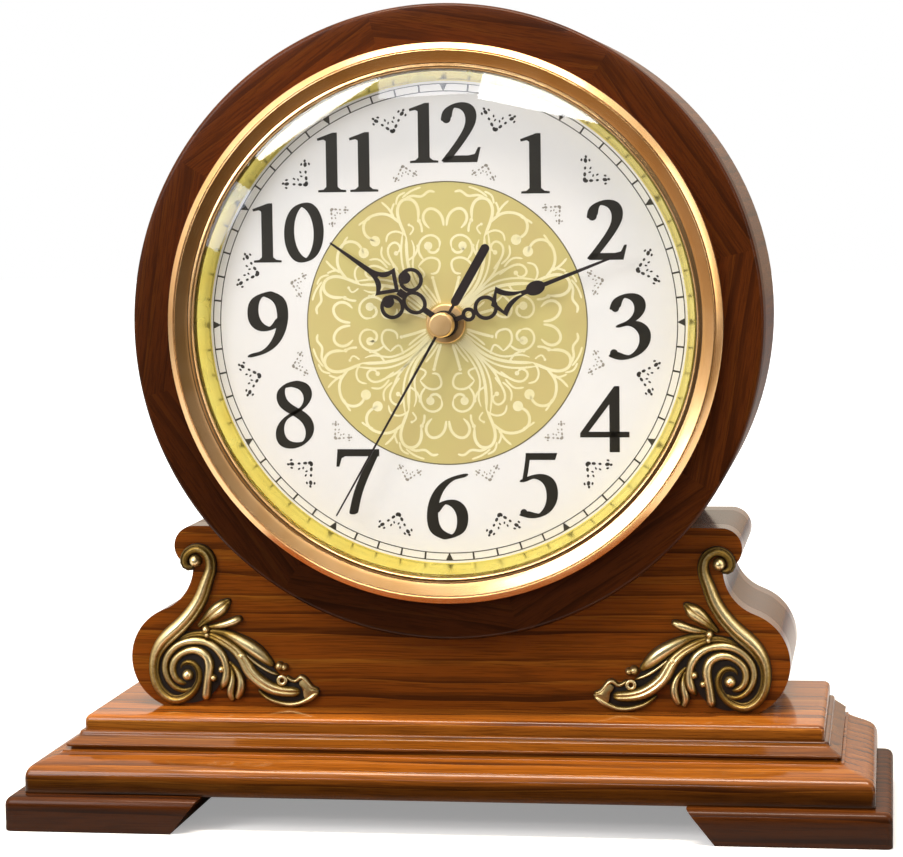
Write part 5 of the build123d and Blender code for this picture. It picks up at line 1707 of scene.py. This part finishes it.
    # the sheets between the bands: height over the wood, value of "relief" and outline
    webs: tuple[tuple[float, float, Pairs], ...] = (
        (
            0.9,
            0.0,
            (
                (104.5, 55.0), (100.5, 61.0), (93.0, 63.0), (86.0, 61.0), (82.0, 53.0), (84.0, 44.0),
                (89.5, 38.8), (98.0, 38.0), (104.5, 43.0),
            ),
        ),
        (
            0.7,
            0.0,
            (
                (92.0, 62.5), (86.0, 65.0), (78.0, 62.0), (70.0, 56.5), (64.0, 50.0), (62.0, 46.0),
                (68.0, 45.0), (76.0, 47.0), (84.0, 50.0),
            ),
        ),
        (
            0.8,
            0.0,
            ((69.0, 43.0), (62.0, 45.0), (55.0, 45.4), (53.0, 41.6), (54.0, 38.6), (58.0, 38.0),
                (63.8, 39.4)),
        ),
        (
            1.9,
            0.55,
            (
                (48.2, 42.6), (50.6, 43.6), (53.4, 46.4), (55.0, 45.4), (53.8, 42.8), (53.4, 40.6),
                (52.4, 39.4), (50.0, 40.8),
            ),
        ),
    )

    def build(self, shop: Workshop) -> None:
        """Builds the right ornament and its mirror image."""
        for node, hand in (("applique_right", 1.0), ("applique_left", -1.0)):
            shell = Shell()
            for band in self.bands:
                self.band(shell, band, hand)
            for right, up, radius, height in self.beads:
                self.bead(shell, right * hand, up, radius, height)
            self.ring(shell, hand)
            for rise, relief, corners in self.webs:
                self.web(shell, corners, hand, rise, relief)
            piece = close_up(shell.build(node + "_cast", "relief"), gap=0.0005 * MM, sharp_degrees=70.0)
            shop.fit(piece, AntiqueBrass(), "case", [node])

    def band(self, shell: Shell, band: Band, hand: float) -> None:
        """Carries a rounded section along a line.

        At a share s across, from -1 to 1, the height is h * (1 - s ** 2) ** 0.4 less a crease of
        d * c * exp(-((s - place) / w) ** 2), and both ends round off with sqrt(1 - (1 - t / cap) ** 2).

        Args:
            shell: The ornament.
            band: The band.
            hand: 1 for the right ornament and -1 for its mirror image.
        """
        line = smooth_line(band.line, self.along_steps)
        right, up, width = line.T[:, :, None]
        share = np.linspace(0.0, 1.0, self.along_steps)[:, None]
        nearest_end = np.minimum(share, 1.0 - share) / self.cap_share
        cap = np.sqrt(np.clip(1.0 - (1.0 - np.minimum(nearest_end, 1.0)) ** 2, 0.0, 1.0))
        around = np.linspace(0.0, np.pi, self.across_steps)
        s = -np.cos(around)
        swell = np.clip(width / width.max(), 0.55, 1.0)
        fold = np.exp(-(((s - band.crease_place) / self.crease_width) ** 2))
        section = np.sin(around) ** 0.8 - band.crease * fold * self.crease_depth
        height = band.height * swell * cap * np.clip(section, 0.0, 1.0)
        aside = band.fullness * width / 2 * cap * s
        normal = across(line)
        right, up = right + normal[:, :1] * aside, up + normal[:, 1:] * aside
        top = np.pad(height, ((0, 0), (1, 1)), constant_values=-self.sink)
        right, up = (np.pad(values, ((0, 0), (1, 1)), mode="edge") for values in (right, up))
        relief = np.clip(top / band.height, 0.0, 1.0) ** 1.6 * (0.6 + 0.4 * band.height / self.relief)
        grid = floor_point(right * hand, up, self.seat + top)
        shell.add_grid(grid, wrap_columns=True, values=relief, caps=ROW_ENDS)

    def bead(self, shell: Shell, right: float, up: float, radius: float, height: float) -> None:
        """Adds a round bead: at the share cos(a) of its radius it rises to its height times sin(a) ** 0.8."""
        polar = np.linspace(0.0, QUARTER, 9)[1:]
        turn = angles(24)
        out = np.concatenate([[radius, radius], radius * np.cos(polar)])
        rise = np.concatenate([[-self.sink, 0.0], height * np.sin(polar) ** 0.8])
        grid = floor_point(right + np.cos(turn) * out, up + np.sin(turn) * out, self.seat + rise)
        relief = np.broadcast_to(np.clip(rise / self.relief, 0.0, 1.0), grid.shape[:2])
        shell.add_grid(grid, wrap_rows=True, values=relief, caps=COLUMN_ENDS[:1])

    def ring(self, shell: Shell, hand: float) -> None:
        """Adds the small eyelet: a circle carried round a larger circle."""
        right, up, radius, thickness, height = self.eyelet
        turn, around = angles(24), angles(12).T
        out = radius + thickness * np.cos(around)
        rise = height + thickness * np.sin(around)
        grid = floor_point((right + np.cos(turn) * out) * hand, up + np.sin(turn) * out, self.seat + rise)
        relief = np.broadcast_to(np.clip(rise / self.eyelet_relief, 0.0, 1.0), grid.shape[:2])
        shell.add_grid(grid, wrap_rows=True, wrap_columns=True, values=relief)

    def web(self, shell: Shell, corners: Pairs, hand: float, rise: float, relief: float) -> None:
        """Adds a thin sunken sheet between the bands.

        Args:
            shell: The ornament.
            corners: Points of the sheet's outline.
            hand: 1 for the right ornament and -1 for its mirror image.
            rise: The sheet's height over the wood.
            relief: The value that its finish takes as its relief.
        """
        outline = smooth_line([*corners, corners[0]], 61)[:-1]
        middle = outline.mean(axis=0)
        shares = np.array(self.web_shares)[:, None]
        inner = rise + self.web_dish
        rises = np.array([-self.sink, rise, inner, inner])
        placed = middle + (outline[:, None] - middle) * shares
        grid = floor_point(placed[..., 0] * hand, placed[..., 1], self.seat + rises)
        shell.add_grid(grid, wrap_rows=True, values=np.full(grid.shape[:2], relief), caps=COLUMN_ENDS)


# Studio


@dataclass
class Studio:
    """A pale floor, soft lights and the camera."""

    camera_place: tuple[float, float, float] = (0.1504, -0.9853, 0.2167)
    yaw_degrees: float = 8.80
    pitch_degrees: float = 4.78
    roll_degrees: float = -0.776
    focal_pixels: float = 2869.0
    floor_half: float = 6.0
    table_front: float = 0.11
    shadow_reach: float = 0.3
    white_reach: float = 1.1
    near_glow: float = 0.3
    front_dark: float = 0.08
    tent_light: float = 0.95
    low_colour: str = "#dcb384"
    high_colour: str = "#fff3e2"
    low_share: float = 0.75
    high_share: float = 2.2
    soft_light: float = 0.575
    right_share: float = 0.45
    # each soft lamp: place in metres, width and height in metres, watts, colour, and how far its right
    # end, as the clock's front sees it, is turned up
    lamps: tuple[tuple, ...] = (
        ("softbox_left", (-0.86, -1.12, 0.86), (0.6, 0.8), 13.6, "#ffffff", 0.0),
        ("softbox_overhead", (0.0, -0.3, 1.2), (0.9, 0.3), 18.0, "#fff1e0", 0.0),
        ("softbox_right", (1.2, -0.5, 0.6), (0.35, 0.9), 3.7, "#fff6ea", 0.0),
        ("window_left", (-0.490, -1.25, 0.588), (0.33, 0.06), 1.0, "#ffffff", 36.0),
        ("window_right", (0.03, -1.25, 0.597), (0.28, 0.07), 0.8, "#ffffff", -13.0),
        ("card_top", (-0.22, -1.27, 0.65), (0.24, 0.08), 0.3, "#f4f6ff", 4.0),
        ("card_left", (-0.71, -1.25, 0.36), (0.16, 0.07), 0.2, "#e4ecff", 60.0),
    )
    lamp_aim: tuple[float, float, float] = (0.0, 0.0, 0.14)

    def build(self) -> None:
        """Builds the floor, the surroundings, the lamps and the camera."""
        self.floor()
        self.surroundings()
        for name, place, size, watts, colour, tilt_degrees in self.lamps:
            self.softbox(name, place, size, watts, colour, tilt_degrees)
        self.camera()

    def floor(self) -> None:
        """Lays a pale floor that keeps the clock's shadow and is white to the camera farther out."""
        half, near = self.floor_half, -self.table_front
        corners = [(-half, near, 0.0), (half, near, 0.0), (half, half, 0.0), (-half, half, 0.0)]
        mesh = bpy.data.meshes.new("studio_floor")
        mesh.from_pydata(corners, [], [[0, 1, 2, 3]])
        piece = add_object("studio_floor", mesh)
        material, tree = new_material("studio_floor_white")
        away = add_node(tree, "VectorMath", {0: object_place(tree)}, operation="LENGTH").outputs["Value"]
        spread = remap(tree, away, self.shadow_reach, self.white_reach, self.near_glow, 1.0)
        seen = calculate(tree, "MULTIPLY", self.seen_directly(tree), spread)
        pale = add_node(tree, "BsdfDiffuse", {"Color": linear("#f4f3f1")})
        glow = add_node(tree, "Emission", {"Color": WHITE, "Strength": seen})
        add_node(tree, "OutputMaterial", {"Surface": add_node(tree, "AddShader", {0: pale, 1: glow})})
        mesh.materials.append(material)

    def seen_directly(self, tree: NodeTree) -> Node:
        """Adds one for a ray from the camera or through glass, and zero for the rest."""
        path = add_node(tree, "LightPath").outputs
        return calculate(tree, "MAXIMUM", path["Is Camera Ray"], path["Is Transmission Ray"])

    def surroundings(self) -> None:
        """Makes the surroundings: white to the eye, a soft light, and a bright tent for shiny surfaces.

        The tent is darker round the camera, so that the glass stays clear, and warmer and darker below,
        as a room with a wooden floor is. Both the light and the tent fade to the right.
        """
        world = bpy.data.worlds.new("studio_surroundings")
        bpy.context.scene.world = world
        tree = empty_tree(world)
        glossy = add_node(tree, "LightPath").outputs["Is Glossy Ray"]
        way = add_node(tree, "TexCoord").outputs["Generated"]
        x, y, z = add_node(tree, "SeparateXYZ", {"Vector": way}).outputs
        aside = remap(tree, y, -0.96, -0.4, self.front_dark, self.tent_light)
        above = remap(tree, z, -0.25, 0.8, self.low_share, self.high_share)
        dimmed = remap(tree, x, 0.1, 0.7, 1.0, self.right_share, "LINEAR")
        tent = calculate(tree, "MULTIPLY", calculate(tree, "MULTIPLY", aside, above), dimmed)
        even = calculate(tree, "MULTIPLY", self.soft_light, dimmed)
        rise = remap(tree, z, -1.0, 1.0, 0.0, 1.0, "LINEAR")
        tint = ramp(tree, rise, (0.36, self.low_colour), (0.6, self.high_colour))
        mirror, soft, white = (
            add_node(tree, "Background", {"Color": colour, "Strength": strength})
            for colour, strength in ((tint, tent), (WHITE, even), (WHITE, 1.0))
        )
        shiny = add_node(tree, "MixShader", {0: glossy, 1: soft, 2: mirror})
        last = add_node(tree, "MixShader", {0: self.seen_directly(tree), 1: shiny, 2: white})
        add_node(tree, "OutputWorld", {"Surface": last})

    def softbox(
        self,
        name: str,
        place: tuple[float, float, float],
        size: tuple[float, float],
        watts: float,
        colour: str,
        tilt_degrees: float,
    ) -> None:
        """Hangs a soft lamp that faces the clock, with the values that the lamps list."""
        lamp = bpy.data.lights.new(name, "AREA")
        lamp.shape = "RECTANGLE"
        lamp.size, lamp.size_y = size
        lamp.energy = watts
        lamp.color = linear(colour)[:3]
        holder = add_object(name, lamp)
        aim = Vector(self.lamp_aim) - Vector(place)
        holder.location = place
        turn = Matrix.Rotation(np.radians(tilt_degrees), 4, "Z")
        holder.rotation_euler = (aim.to_track_quat("-Z", "Y").to_matrix().to_4x4() @ turn).to_euler()

    def camera(self) -> None:
        """Sets the camera: turned by yaw, then pitch, then roll, with the focal length in pixels."""
        yaw, pitch, roll = np.radians([self.yaw_degrees, self.pitch_degrees, self.roll_degrees])
        ahead = np.array([-np.sin(yaw) * np.cos(pitch), np.cos(yaw) * np.cos(pitch), -np.sin(pitch)])
        right = np.array([np.cos(yaw), np.sin(yaw), 0.0])
        up = np.cross(right, ahead)
        rolled_right = np.cos(roll) * right + np.sin(roll) * up
        rolled_up = -np.sin(roll) * right + np.cos(roll) * up
        turn = Matrix(np.stack([rolled_right, rolled_up, -ahead], axis=1).tolist()).to_4x4()
        data = bpy.data.cameras.new("front_camera")
        data.sensor_width = SENSOR_WIDTH
        data.lens = self.focal_pixels * SENSOR_WIDTH / PHOTO_WIDTH
        camera = add_object("front_camera", data)
        camera.matrix_world = Matrix.Translation(self.camera_place) @ turn
        bpy.context.scene.camera = camera
        bpy.context.scene.view_settings.view_transform = "Standard"


def main() -> None:
    """Builds the clock and its studio."""
    logging.basicConfig(level=logging.INFO, format="%(name)s: %(message)s")
    shop = Workshop()
    case = (Plinth(), Waist(), DrumCase(), BezelAndGlass())
    for assembly in (*case, DialFace(), HandsAndMovement(), ScrollApplique()):
        log.info("%s", type(assembly).__name__)
        assembly.build(shop)
    Studio().build()


if __name__ == "__main__":
    main()
